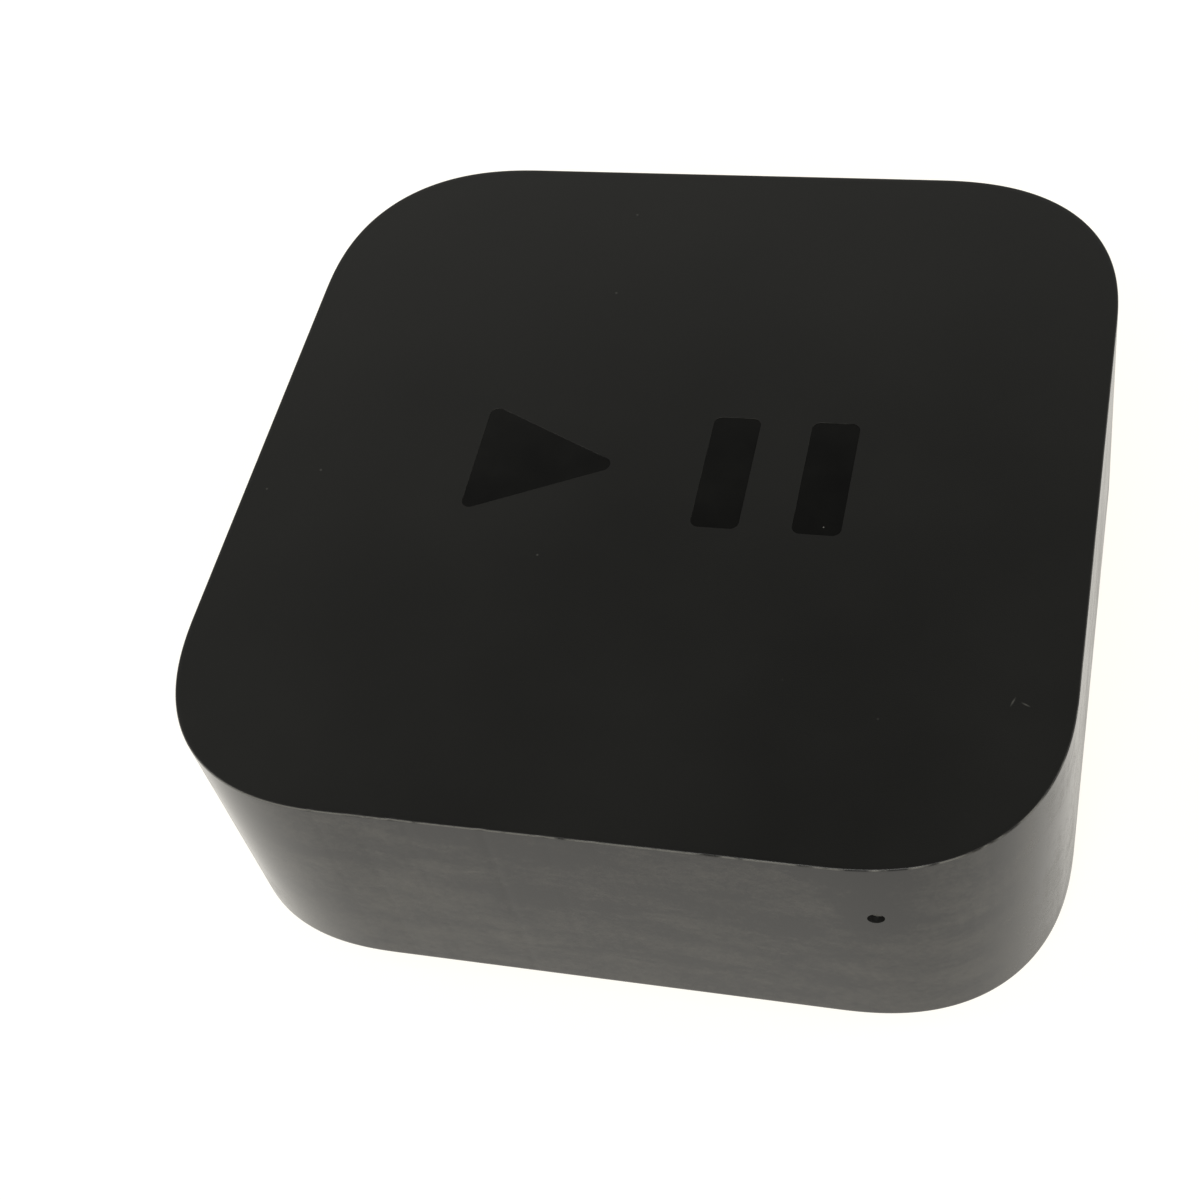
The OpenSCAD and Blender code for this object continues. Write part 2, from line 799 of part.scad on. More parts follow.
module power_board() {
    color([0.55, 0.42, 0.2]) difference() {
        translate([0, -2, power_z]) plate(82, 56, power_t, 3);
        at_points(power_holes) translate([0, 0, power_z - 1]) cylinder(r = power_screw_r + 0.2, h = 4);
    }
}

module transformer_core() {
    color(ferrite) translate([core_at[0], core_at[1], power_top]) difference() {
        block(22, 20, roof_z - core_gap - power_top);
        for (s = [-1, 1]) translate([0, s * 6, -1]) block(14, 6.4, 13);
    }
}

module transformer_coil() {
    color([0.86, 0.72, 0.2]) translate([core_at[0], core_at[1], power_top + 1]) difference() {
        block(13.8, 18.2, 8.6);
        block(14.2, 5.7, 9);
    }
}

// low cans that lie on their sides
module bulk_capacitors() {
    color([0.08, 0.09, 0.12]) for (x = [-7, 4.5, 16])
        translate([x, -28, power_top + 5.2]) {
            along_y(5.1, 18);
            translate([-4, 2, -5.2]) cube([8, 1.2, 1.5]);
        }
}

module output_capacitors() {
    color([0.7, 0.71, 0.74]) for (p = [[-26, -22], [-26, -11], [-26, 2]])
        translate([p[0], p[1], power_top]) {
            cylinder(r = 4, h = 9.5);
            block(8.3, 8.3, 1.2);
        }
}

module choke_core() {
    color(ferrite) translate([choke_at[0], choke_at[1], power_top + 0.9]) difference() {
        cylinder(r = 7.4, h = 7);
        translate([0, 0, -1]) cylinder(r = 3.8, h = 9);
    }
}

module choke_windings() {
    turns = 6;
    color(copper) translate([choke_at[0], choke_at[1], power_top + 0.9]) difference() {
        for (s = [0, 180], i = [0 : turns - 1])
            rotate(s + 90 + (i - (turns - 1) / 2) * 17) translate([3, -0.45, -0.9])
                cube([5.3, 0.9, 8.8]);
        difference() {
            translate([0, 0, -0.02]) cylinder(r = 7.42, h = 7.04);
            translate([0, 0, -1]) cylinder(r = 3.78, h = 9);
        }
    }
}

module film_capacitor() {
    color([0.85, 0.6, 0.1]) translate([30, 8.5, power_top]) plate(13, 6.4, 10.6, 0.8);
}

module mains_fuse() {
    color([0.2, 0.14, 0.1]) translate([28, 17, power_top]) {
        plate(8.5, 4.2, 7.6, 1);
    }
}

module power_semiconductors() {
    color(chip_black) {
        translate([28, -20, power_top]) plate(10, 6.5, 3.6, 0.6);
        translate([13.5, 4, power_top]) {
            block(10, 4.6, 1);
            block(9.6, 2, 9.4);
        }
        translate([13.5, 13, power_top]) block(6, 5, 1.5);
        for (y = [16, 22]) translate([-27, y - 4, power_top]) block(9.5, 4.4, 3.4);
    }
}

module power_posts() {
    color(gold) at_points(post_holes) difference() {
        translate([0, 0, board_top]) cylinder(r = post_r, h = power_z - board_top);
        translate([0, 0, board_top - 1]) cylinder(r = post_bore_r, h = power_z - board_top + 0.6);
    }
}

module power_insulator() {
    color([0.75, 0.75, 0.7]) difference() {
        translate([0, -2, power_z - 0.2]) plate(84, 57.5, 0.2, 3);
        at_points(power_holes) translate([0, 0, power_z - 2]) cylinder(r = 2.2, h = 3);
        at_points(post_holes) translate([0, 0, power_z - 2]) cylinder(r = 1.8, h = 3);
    }
}

module power_screws() {
    color(steel) {
        at_points(power_holes) translate([0, 0, power_z - 1]) socket_screw(power_screw_r, 7, 1.9, 1);
        at_points(post_holes) translate([0, 0, board_z - 0.9]) socket_screw(1.05, 2.8, 1.9, 0.9);
    }
}

top_shell();
base_cover();
foot_pad();
mains_inlet_housing();
mains_inlet_pins();
video_socket_shell();
video_socket_insert();
video_socket_contacts();
network_jack_housing();
network_jack_shield();
network_jack_contacts();
light_guide();
status_led();
ir_receiver();
ir_receiver_can();
logic_board();
main_processor();
memory_chips();
flash_chip();
power_manager();
video_converter();
network_controller();
network_transformer();
wireless_module();
power_inductors();
ceramic_capacitors();
polymer_capacitors();
clock_crystals();
shield_fence();
shield_lid();
thermal_pads();
heat_sink();
fan_frame();
fan_cover();
fan_bearing();
fan_stator();
fan_coils();
fan_circuit();
impeller();
rotor_magnet();
fan_shaft();
fan_flex();
fan_socket();
fan_screws();
main_screws();
antenna_carriers();
antenna_plates();
power_board();
transformer_core();
transformer_coil();
bulk_capacitors();
output_capacitors();
choke_core();
choke_windings();
film_capacitor();
mains_fuse();
power_semiconductors();
power_posts();
power_insulator();
power_screws();
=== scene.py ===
import json
import math
import random

import bmesh
import bpy
from mathutils import Matrix, Vector


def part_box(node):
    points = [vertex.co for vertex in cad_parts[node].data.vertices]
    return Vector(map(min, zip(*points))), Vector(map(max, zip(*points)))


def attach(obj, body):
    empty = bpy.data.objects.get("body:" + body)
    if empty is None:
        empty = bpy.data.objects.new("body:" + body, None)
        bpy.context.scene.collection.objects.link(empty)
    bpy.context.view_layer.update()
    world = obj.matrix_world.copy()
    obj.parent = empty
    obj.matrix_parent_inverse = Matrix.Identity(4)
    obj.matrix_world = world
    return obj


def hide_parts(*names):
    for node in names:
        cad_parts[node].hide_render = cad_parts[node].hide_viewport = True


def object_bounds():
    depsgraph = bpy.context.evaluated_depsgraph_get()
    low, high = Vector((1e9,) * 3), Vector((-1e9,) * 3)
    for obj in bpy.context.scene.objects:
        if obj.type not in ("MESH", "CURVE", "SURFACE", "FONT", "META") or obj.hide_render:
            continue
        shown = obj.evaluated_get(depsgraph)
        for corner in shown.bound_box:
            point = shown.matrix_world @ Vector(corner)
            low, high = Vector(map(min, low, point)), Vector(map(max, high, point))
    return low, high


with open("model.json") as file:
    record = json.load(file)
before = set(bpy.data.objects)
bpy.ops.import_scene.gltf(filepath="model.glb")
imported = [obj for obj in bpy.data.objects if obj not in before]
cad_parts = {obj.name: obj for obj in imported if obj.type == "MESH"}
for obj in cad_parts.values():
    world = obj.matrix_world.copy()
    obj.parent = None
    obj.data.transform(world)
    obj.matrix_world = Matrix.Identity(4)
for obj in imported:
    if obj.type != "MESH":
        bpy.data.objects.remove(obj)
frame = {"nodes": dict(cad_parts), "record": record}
cadLow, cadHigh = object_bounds()
mm = 0.001
halfWidth, topHeight = cadHigh.x, cadHigh.z
nodeSlots = {name: node.data.materials[0].name for name, node in frame["nodes"].items()}
nodeBodies = {node: body for body, nodes in frame["record"]["behaviour"]["bodies"].items() for node in nodes}

print("camera, floor and light")

# The view is from well above the front, a little to the right, with the camera tipped
# to one side. Angles are in degrees.
cameraSetup = {
    "aim": Vector((-2.73 * mm, -19.18 * mm, topHeight)),
    "distance": 223.3 * mm,
    "azimuth": 24.6,
    "elevation": 51.8,
    "roll": -15.2,
    "lens": 61.4,
    "sensor": 36.0,
}


def fromAngles(azimuth, elevation):
    a, e = math.radians(azimuth), math.radians(elevation)
    return Vector((math.sin(a) * math.cos(e), -math.cos(a) * math.cos(e), math.sin(e)))


def makeCamera(setup):
    data = bpy.data.cameras.new("handHeldCamera")
    data.lens, data.sensor_width = setup["lens"], setup["sensor"]
    data.clip_start, data.clip_end = 0.01, 20
    camera = bpy.data.objects.new("handHeldCamera", data)
    back = fromAngles(setup["azimuth"], setup["elevation"])
    turn = back.to_track_quat("Z", "Y").to_matrix().to_4x4()
    roll = Matrix.Rotation(math.radians(setup["roll"]), 4, "Z")
    camera.matrix_world = Matrix.Translation(setup["aim"] + back * setup["distance"]) @ turn @ roll
    bpy.context.scene.collection.objects.link(camera)
    bpy.context.scene.camera = camera


makeCamera(cameraSetup)


def linearColour(hexColour):
    parts = [int(hexColour[i:i + 2], 16) / 255 for i in (1, 3, 5)]
    return tuple(c / 12.92 if c <= 0.04045 else ((c + 0.055) / 1.055) ** 2.4 for c in parts) + (1.0,)


# Adds one node to a tree. Inputs are values, or other nodes' outputs to link from.
def addNode(tree, kind, inputs=None, **settings):
    node = tree.nodes.new("ShaderNode" + kind)
    for key, value in settings.items():
        setattr(node, key, value)
    for key, value in (inputs or {}).items():
        if isinstance(value, bpy.types.NodeSocket):
            tree.links.new(value, node.inputs[key])
        else:
            node.inputs[key].default_value = value
    return node


def startMaterial(name, colour, roughness, metallic=0.0, ior=1.5):
    material = bpy.data.materials.new(name)
    material.use_nodes = True
    shader = material.node_tree.nodes["Principled BSDF"]
    shader.inputs["Base Color"].default_value = linearColour(colour)
    shader.inputs["Roughness"].default_value = roughness
    shader.inputs["Metallic"].default_value = metallic
    shader.inputs["IOR"].default_value = ior
    return material, material.node_tree, shader


# A light table: an opal sheet lit from beneath, so nothing on it throws a shadow. It lies a hair
# below the foot, so that the two faces don't coincide.
floorSetup = {"side": 4.0, "colour": "#8c8c8a", "glow": 0.9, "tint": "#fffbf3", "gap": 0.02 * mm}


def makeFloor(setup):
    mesh = bpy.data.meshes.new("lightTable")
    h = setup["side"] / 2
    corners = [(x, y, -setup["gap"]) for x, y in ((-h, -h), (h, -h), (h, h), (-h, h))]
    mesh.from_pydata(corners, [], [(0, 1, 2, 3)])
    floor = bpy.data.objects.new("lightTable", mesh)
    bpy.context.scene.collection.objects.link(floor)
    material, _, shader = startMaterial("opalAcrylicSheet", setup["colour"], 0.6)
    shader.inputs["Emission Color"].default_value = linearColour(setup["tint"])
    shader.inputs["Emission Strength"].default_value = setup["glow"]
    mesh.materials.append(material)


# Soft boxes stand in front and to the sides. Behind, where the matt top's mirror
# direction lies, there is only the dim sky.
softBoxes = {
    "front": {"azimuth": 8, "elevation": 50, "distance": 1.1, "size": 0.6, "power": 6.5},
    "left": {"azimuth": -80, "elevation": 35, "distance": 1.2, "size": 0.6, "power": 2.5},
    "right": {"azimuth": 100, "elevation": 35, "distance": 1.2, "size": 0.6, "power": 2.0},
}
boxColour = (1, 0.985, 0.96)
# Brightness of the sky by the sine of the height above the horizon, and its colour.
skySteps = [(0.25, 0.92), (0.5, 0.72), (0.62, 0.45), (0.76, 0.11), (0.9, 0.05)]
skyColour = (1, 0.995, 0.93)


def makeSoftBoxes(boxes):
    for name, box in boxes.items():
        data = bpy.data.lights.new("softBox." + name, "AREA")
        data.shape, data.size, data.energy = "SQUARE", box["size"], box["power"]
        data.color = boxColour
        lamp = bpy.data.objects.new("softBox." + name, data)
        back = fromAngles(box["azimuth"], box["elevation"])
        turn = back.to_track_quat("Z", "Y").to_matrix().to_4x4()
        lamp.matrix_world = Matrix.Translation(back * box["distance"]) @ turn
        bpy.context.scene.collection.objects.link(lamp)


def makeSky(steps):
    world = bpy.data.worlds.new("studio")
    bpy.context.scene.world = world
    world.use_nodes = True
    tree = world.node_tree
    place = addNode(tree, "TexCoord")
    axes = addNode(tree, "SeparateXYZ", {0: place.outputs["Generated"]})
    ramp = addNode(tree, "ValToRGB", {0: axes.outputs["Z"]})
    marks = ramp.color_ramp.elements
    while len(marks) < len(steps):
        marks.new(0.5)
    for mark, (at, level) in zip(marks, steps):
        mark.position = at
        mark.color = (*(level * c for c in skyColour), 1)
    tree.links.new(ramp.outputs["Color"], tree.nodes["Background"].inputs["Color"])


makeFloor(floorSetup)
makeSoftBoxes(softBoxes)
makeSky(skySteps)
bpy.context.scene.view_settings.view_transform = "Standard"

print("finishes")


# Places on the object about a centre, turned (degrees) and then squeezed along each axis.
def objectPlace(tree, squeeze=(1, 1, 1), turn=(0, 0, 0), centre=(0, 0, 0)):
    inputs = {"Vector": addNode(tree, "TexCoord").outputs["Object"], "Location": centre,
              "Rotation": tuple(math.radians(a) for a in turn), "Scale": tuple(1 / s for s in squeeze)}
    return addNode(tree, "Mapping", inputs, vector_type="TEXTURE").outputs[0]


# A value carried from one range to another.
def mapped(tree, value, start, end, low=0.0, high=1.0, clamp=True):
    inputs = {0: value, 1: start, 2: end, 3: low, 4: high}
    return addNode(tree, "MapRange", inputs, clamp=clamp).outputs[0]


def calculated(tree, operation, *values):
    return addNode(tree, "Math", dict(enumerate(values)), operation=operation).outputs[0]


def mixed(tree, amount, first, second):
    return addNode(tree, "Mix", {0: amount, 6: first, 7: second}, data_type="RGBA").outputs[2]


def noisy(tree, place, size, detail, **inputs):
    settings = {"Vector": place, "Scale": 1 / size, "Detail": detail, **inputs}
    return addNode(tree, "TexNoise", settings).outputs[0]


# Lets colour and roughness drift together between two ends, over cloudy patches of a real size.
def mottle(look, size, colours, roughness, squeeze=(1, 1, 1), detail=3.0):
    _, tree, shader = look
    amount = mapped(tree, noisy(tree, objectPlace(tree, squeeze), size, detail), 0.3, 0.7)
    colour = mixed(tree, amount, *(linearColour(c) for c in colours))
    tree.links.new(colour, shader.inputs["Base Color"])
    tree.links.new(mapped(tree, amount, 0.0, 1.0, *roughness), shader.inputs["Roughness"])


# Raises a fine grain of a real size and depth.
def grain(look, size, depth, squeeze=(1, 1, 1)):
    _, tree, shader = look
    height = noisy(tree, objectPlace(tree, squeeze), size, 2.0)
    bump = addNode(tree, "Bump", {"Height": height, "Distance": depth, "Strength": 1.0})
    tree.links.new(bump.outputs[0], shader.inputs["Normal"])


# A soft-edged stroke in mm: 1 in its middle and 0 outside its size, turned about each axis.
def stroke(tree, centre, size, turn):
    place = objectPlace(tree, [2 / (s * mm) for s in size], turn, [c * mm for c in centre])
    return addNode(tree, "TexGradient", {0: place}, gradient_type="SPHERICAL").outputs["Fac"]


# Lays a colour over what the material has so far.
def layOver(look, amount, colour):
    _, tree, shader = look
    below = shader.inputs["Base Color"].links[0].from_socket
    tree.links.new(mixed(tree, amount, below, linearColour(colour)), shader.inputs["Base Color"])


# Pale specks of dust in a share of the cells of a pattern. Radii are in parts of a cell.
def dust(look, cell, share, colour, radius=0.02, edge=0.035):
    tree = look[1]
    cells = addNode(tree, "TexVoronoi", {"Vector": objectPlace(tree), "Scale": 1 / cell})
    dot = mapped(tree, cells.outputs["Distance"], edge, radius)
    pick = addNode(tree, "SeparateColor", {0: cells.outputs["Color"]}).outputs[0]
    some = calculated(tree, "GREATER_THAN", pick, 1 - share)
    layOver(look, calculated(tree, "MULTIPLY", dot, some), colour)


# Marks in the wall's film: centre and size in mm, turn in the wall, and how much more film there is.
wallMarks = [
    ((-13.6, -49, 11.8), (1.6, 4, 1.4), 20, -0.5),
    ((-3.5, -49, 10.4), (13, 4, 1.6), -4, -0.45),
    ((4.5, -49, 9.6), (7, 4, 1.0), 3, -0.35),
    ((-11.8, -49, 25.6), (4.5, 4, 0.5), -12, 0.5),
    ((31.0, -49, 25.2), (9, 4, 9), 0, -0.5),
    ((31.4, -49, 25.2), (4.6, 4, 4.6), 0, -0.9),
    ((28.6, -49, 25.3), (1.6, 4, 1.8), 0, -0.9),
    ((12, -49, 19.5), (15, 6, 4), 6, 0.3),
    ((-20, -49, 20), (16, 6, 12), -25, 0.22),
]


# Layers of the film: size in mm, squeeze, turn, detail, least and most film, and, where it isn't
# everywhere, the axis along which it fades in and between which places in mm.
wallFilm = [
    (13, (1, 1, 4.5), 4, 8.0, 0.04, 0.46, None),
    (11, (1, 1, 1.4), 0, 3.0, -0.22, 0.24, None),
    (0.9, (1, 1, 1.5), 0, 4.0, -0.2, 0.2, None),
    (0.3, (1, 1, 1), 0, 1.0, -0.1, 0.1, None),
    (9, (0.35, 1, 2.2), 38, 6.0, -0.24, 0.4, ("X", -24, -36)),
    (2.2, (1, 1, 0.07), 0, 2.0, -0.12, 0.26, ("X", 36, 47)),
]
wallLook = {"bare": "#040404", "film": "#33312c", "rubbed": "#6f6e69", "filmTop": -0.3, "filmLow": 0.06,
            "noiseRoughness": 0.62, "noiseLow": 0.33, "noiseHigh": 0.67, "gloss": 0.06, "filmGloss": 0.2,
            "cornerGloss": 0.16, "rubbedGloss": 0.3}


# Polycarbonate from a mirror-polished mould: a deep black gloss under the grey film that hands leave.
# The film lies in wipes about 13 mm long and 3 mm tall over finger-wide patches, with fine smudges
# 1 mm across in it. It is thicker low down and thinner towards the top, where the thinner film is a painted
# reflection of the darker floor that the upper wall reflects. It slants round the left corner, and stands in
# upright bands 2 mm apart round the right side. Along the top edge a pale band is a painted highlight, and at
# the rim the bare black is a painted shade line.
def polishedPolycarbonate():
    material, tree, shader = startMaterial("polishedPolycarbonate", "#050505", 0.12, ior=1.38)
    axes = addNode(tree, "SeparateXYZ", {0: addNode(tree, "TexCoord").outputs["Object"]}).outputs

    def along(axis, start, end, low=0.0, high=1.0):
        return mapped(tree, axes[axis], start * mm, end * mm, low, high)

    topMm, roughness = topHeight / mm, wallLook["noiseRoughness"]
    # The film starts thinner at the top of the wall and grows thicker down to 6 mm. This is a painted
    # reflection of the darker floor that the upper wall reflects.
    film = along("Z", topMm, 6, wallLook["filmTop"], wallLook["filmLow"])
    for size, squeeze, turn, detail, least, most, zone in wallFilm:
        noise = noisy(tree, objectPlace(tree, squeeze, (0, turn, 0)), size * mm, detail, Roughness=roughness)
        layer = mapped(tree, noise, wallLook["noiseLow"], wallLook["noiseHigh"], least, most, clamp=False)
        film = calculated(tree, "MULTIPLY_ADD", layer, along(*zone) if zone else 1.0, film)
    for centre, size, turn, strength in wallMarks:
        film = calculated(tree, "MULTIPLY_ADD", stroke(tree, centre, size, (0, turn, 0)), strength, film)
    film = addNode(tree, "Clamp", {0: film}).outputs[0]

    # The painted highlight along the top edge is nearly unbroken at the left and fades towards the back.
    edgeHighlightNoise = noisy(tree, objectPlace(tree), 2.5 * mm, 6.0)
    least = along("X", 30, -30, 0.42, 0.25)
    rubbed = mapped(tree, edgeHighlightNoise, least, calculated(tree, "ADD", least, 0.14), 0.0, 0.6)
    rubbed = calculated(tree, "MULTIPLY", along("Z", topMm - 0.3, topMm - 0.12), rubbed)
    rubbed = calculated(tree, "MULTIPLY", rubbed, along("Y", 30, -40, 0.3, 1.0))

    colour = mixed(tree, film, linearColour(wallLook["bare"]), linearColour(wallLook["film"]))
    # From 3.9 mm down to 3.5 mm the colour returns to the bare black. This is a painted shade line along the
    # rim, standing for the shadowed floor under the case seen in reflection.
    colour = mixed(tree, along("Z", 3.9, 3.5), colour, linearColour(wallLook["bare"]))
    colour = mixed(tree, rubbed, colour, linearColour(wallLook["rubbed"]))
    tree.links.new(colour, shader.inputs["Base Color"])
    rough = mapped(tree, film, 0.0, 1.0, wallLook["gloss"], wallLook["filmGloss"])
    rougher = [(along("X", 36, 47), wallLook["cornerGloss"]), (along("X", -38, -46), wallLook["cornerGloss"]),
               (rubbed, wallLook["rubbedGloss"])]
    for amount, by in rougher:
        rough = calculated(tree, "MULTIPLY_ADD", amount, by, rough)
    tree.links.new(rough, shader.inputs["Roughness"])
    return material


# Short scratches in the matt top: centre and size in mm, and turn.
topScratches = [((42.5, -27.7, 35), (0.25, 1.4, 0.6), -20), ((43.8, -27.9, 35), (1.2, 0.25, 0.6), -25)]


# The same plastic from a spark-eroded mould face: a matt black with an even grain, a few dust
# specks and two short scratches. The real grain is 0.05 mm, and it is drawn at 0.14 mm to show.
def sparkErodedPolycarbonate():
    look = startMaterial("sparkErodedPolycarbonate", "#080807", 0.55, ior=1.45)
    mottle(look, 25 * mm, ("#060605", "#090907"), (0.42, 0.48))
    dust(look, 5 * mm, 0.28, "#3a3a37")
    for centre, size, turn in topScratches:
        layOver(look, stroke(look[1], centre, size, (0, 0, turn)), "#4a4a46")
    grain(look, 0.14 * mm, 0.011 * mm)
    return look[0]


# The mould's mirror-polished inlay leaves the symbol glossy against the matt top.
def mirrorPolishedSymbol():
    look = startMaterial("mirrorPolishedSymbol", "#060606", 0.16, ior=1.45)
    mottle(look, 6 * mm, ("#050505", "#080807"), (0.12, 0.2))
    dust(look, 3.5 * mm, 0.5, "#6a6a66")
    return look[0]


# Polycarbonate and ABS from a plain mould: black with a faint satin grain.
def mouldedPolycarbonate():
    look = startMaterial("mouldedPolycarbonate", "#121212", 0.45, ior=1.55)
    mottle(look, 12 * mm, ("#0f0f0f", "#161615"), (0.4, 0.52))
    grain(look, 0.35 * mm, 0.01 * mm)
    return look[0]


# Silicone rubber, compression moulded: a soft flat black that holds pale dust.
def mouldedSilicone():
    look = startMaterial("mouldedSilicone", "#1c1c1c", 0.8, ior=1.41)
    mottle(look, 9 * mm, ("#181818", "#282826"), (0.72, 0.88), detail=6.0)
    grain(look, 0.3 * mm, 0.02 * mm)
    return look[0]


# Glass-filled nylon, injection moulded: a hard black with a dry sheen and short fibre flecks.
def glassFilledNylon():
    look = startMaterial("glassFilledNylon", "#151516", 0.5, ior=1.53)
    mottle(look, 0.6 * mm, ("#121213", "#1b1b1d"), (0.42, 0.58), squeeze=(1, 3, 1))
    grain(look, 0.25 * mm, 0.008 * mm, squeeze=(1, 3, 1))
    return look[0]


# Cold-rolled steel, tin plated: a soft grey mirror with faint rolling lines 0.3 mm apart.
def tinPlatedSteel():
    look = startMaterial("tinPlatedSteel", "#c4c4c2", 0.3, metallic=1.0)
    mottle(look, 0.25 * mm, ("#c0c0be", "#c8c8c5"), (0.27, 0.34), squeeze=(0.03, 1, 1))
    return look[0]


# Phosphor bronze, gold plated: warm bright contacts, worn smoother where plugs rub.
def goldPlatedBronze():
    look = startMaterial("goldPlatedBronze", "#e2b25c", 0.25, metallic=1.0)
    mottle(look, 1.5 * mm, ("#d9a64e", "#e8bd6c"), (0.18, 0.32))
    return look[0]


# Acrylic with a frosted skin, which spreads the light of the lamp behind it: a soft milky grey.
def frostedAcrylic():
    look = startMaterial("frostedAcrylic", "#5c5b57", 0.4, ior=1.49)
    mottle(look, 1.2 * mm, ("#565551", "#62615c"), (0.34, 0.46))
    return look[0]


# Epoxy lens that passes infrared only: a glossy near-black with a purple cast.
def infraredEpoxy():
    look = startMaterial("infraredEpoxy", "#1a0c14", 0.12, ior=1.54)
    mottle(look, 2 * mm, ("#14080f", "#21101a"), (0.08, 0.18))
    return look[0]


# Glass-epoxy board under green solder mask. Tracks of copper beneath it show as paler lines;
# real ones are 0.15 mm wide and are drawn at 0.35 mm to show.
def solderMaskedBoard():
    material, tree, shader = startMaterial("solderMaskedBoard", "#0f3420", 0.35, ior=1.55)
    settings = {"Vector": objectPlace(tree, turn=(0, 0, 45)), "Scale": 1 / (6 * mm), "Mortar Size": 0.03,
                "Color1": linearColour("#14452b"), "Color2": linearColour("#185033"),
                "Mortar": linearColour("#0b2b1a"), "Brick Width": 1.6, "Row Height": 0.12}
    tracks = addNode(tree, "TexBrick", settings)
    flood = noisy(tree, objectPlace(tree), 9 * mm, 2.0)
    colour = mixed(tree, mapped(tree, flood, 0.46, 0.5), tracks.outputs[0], linearColour("#124029"))
    tree.links.new(colour, shader.inputs["Base Color"])
    tree.links.new(mapped(tree, flood, 0.3, 0.7, 0.28, 0.42), shader.inputs["Roughness"])
    relief = addNode(tree, "Bump", {"Height": tracks.outputs[1], "Distance": 0.02 * mm}, invert=True)
    tree.links.new(relief.outputs[0], shader.inputs["Normal"])
    return material


# Paper-phenolic board, pressed: tan, dull, with the paper's fibres running one way.
def phenolicPaper():
    look = startMaterial("phenolicPaper", "#8a6a3a", 0.55, ior=1.6)
    mottle(look, 0.6 * mm, ("#856638", "#8f6e3e"), (0.5, 0.6), squeeze=(0.3, 1, 1), detail=4.0)
    grain(look, 0.4 * mm, 0.004 * mm, squeeze=(0.3, 1, 1))
    return look[0]


# Epoxy moulding compound of chip packages: charcoal, sanded flat by the mould's fine texture.
def chipEpoxy():
    look = startMaterial("chipEpoxy", "#1d1e20", 0.6, ior=1.55)
    mottle(look, 1.5 * mm, ("#191a1c", "#232427"), (0.52, 0.66))
    grain(look, 0.12 * mm, 0.006 * mm)
    return look[0]


# Manganese-zinc ferrite, pressed and sintered: slate grey ceramic with a fine pitted skin.
def sinteredFerrite():
    look = startMaterial("sinteredFerrite", "#353437", 0.5, ior=1.9)
    mottle(look, 1.2 * mm, ("#2c2b2e", "#403f42"), (0.4, 0.6), detail=6.0)
    grain(look, 0.2 * mm, 0.012 * mm)
    return look[0]


# Barium titanate, fired: the biscuit brown of ceramic chip capacitors, lightly glazed.
def firedTitanate():
    look = startMaterial("firedTitanate", "#8a6b48", 0.4, ior=1.9)
    mottle(look, 0.7 * mm, ("#7d5f3f", "#967653"), (0.32, 0.48))
    return look[0]


# Filled silicone gap pad, calendered: blue-grey, waxy and dimpled.
def calenderedSilicone():
    look = startMaterial("calenderedSilicone", "#8794a6", 0.7, ior=1.43)
    mottle(look, 1.0 * mm, ("#7d8a9c", "#919db0"), (0.6, 0.8))
    grain(look, 0.5 * mm, 0.03 * mm)
    return look[0]


# Aluminium, die cast and bead blasted: pale grey with a soft sparkle.
def blastedAluminium():
    look = startMaterial("blastedAluminium", "#b9bbbe", 0.45, metallic=1.0)
    mottle(look, 4 * mm, ("#aeb0b3", "#c3c5c8"), (0.4, 0.52))
    grain(look, 0.18 * mm, 0.012 * mm)
    return look[0]


# Copper wire with clear polyurethane enamel: orange-red and glossy.
def enamelledCopper():
    look = startMaterial("enamelledCopper", "#b5633a", 0.25, metallic=1.0)
    mottle(look, 1.5 * mm, ("#a65730", "#c57146"), (0.18, 0.32))
    return look[0]


# Sheet copper, etched: bright pink-orange with a light tarnish.
def etchedCopper():
    look = startMaterial("etchedCopper", "#bd7350", 0.35, metallic=1.0)
    mottle(look, 3 * mm, ("#a9603f", "#cd8560"), (0.28, 0.45), detail=5.0)
    return look[0]


# Porous bronze, sintered and oiled: the brown-gold of a sleeve bearing.
def sinteredBronze():
    look = startMaterial("sinteredBronze", "#a9803f", 0.4, metallic=1.0)
    mottle(look, 0.3 * mm, ("#94702f", "#b98f4d"), (0.3, 0.5), detail=5.0)
    return look[0]


# Polyester winding tape: translucent amber, laid in laps 2 mm apart.
def polyesterTape():
    look = startMaterial("polyesterTape", "#d9b52f", 0.3, ior=1.6)
    mottle(look, 2 * mm, ("#c9a323", "#e2c145"), (0.22, 0.36), squeeze=(0.2, 0.2, 1))
    return look[0]


# Polyimide film, cast: orange-brown and smooth.
def castPolyimide():
    look = startMaterial("castPolyimide", "#a8631a", 0.25, ior=1.7)
    mottle(look, 3 * mm, ("#9a5814", "#b46d22"), (0.18, 0.32))
    return look[0]


# Natural nylon, moulded: an ivory plastic with a waxy face.
def naturalNylon():
    look = startMaterial("naturalNylon", "#d8d2c0", 0.45, ior=1.53)
    mottle(look, 5 * mm, ("#cfc8b5", "#dfdac9"), (0.38, 0.52))
    return look[0]


# Polyester sleeve shrunk on an aluminium can: near black with a slight orange-peel gloss.
def shrunkSleeve():
    look = startMaterial("shrunkSleeve", "#14161c", 0.3, ior=1.57)
    mottle(look, 4 * mm, ("#101217", "#1a1d25"), (0.24, 0.38))
    grain(look, 0.9 * mm, 0.01 * mm)
    return look[0]


# Aluminium can, deep drawn: bright with fine lines round it.
def drawnAluminium():
    look = startMaterial("drawnAluminium", "#c6c8ca", 0.28, metallic=1.0)
    mottle(look, 0.25 * mm, ("#bcbec0", "#d1d3d5"), (0.22, 0.34), squeeze=(0.08, 0.08, 1))
    return look[0]


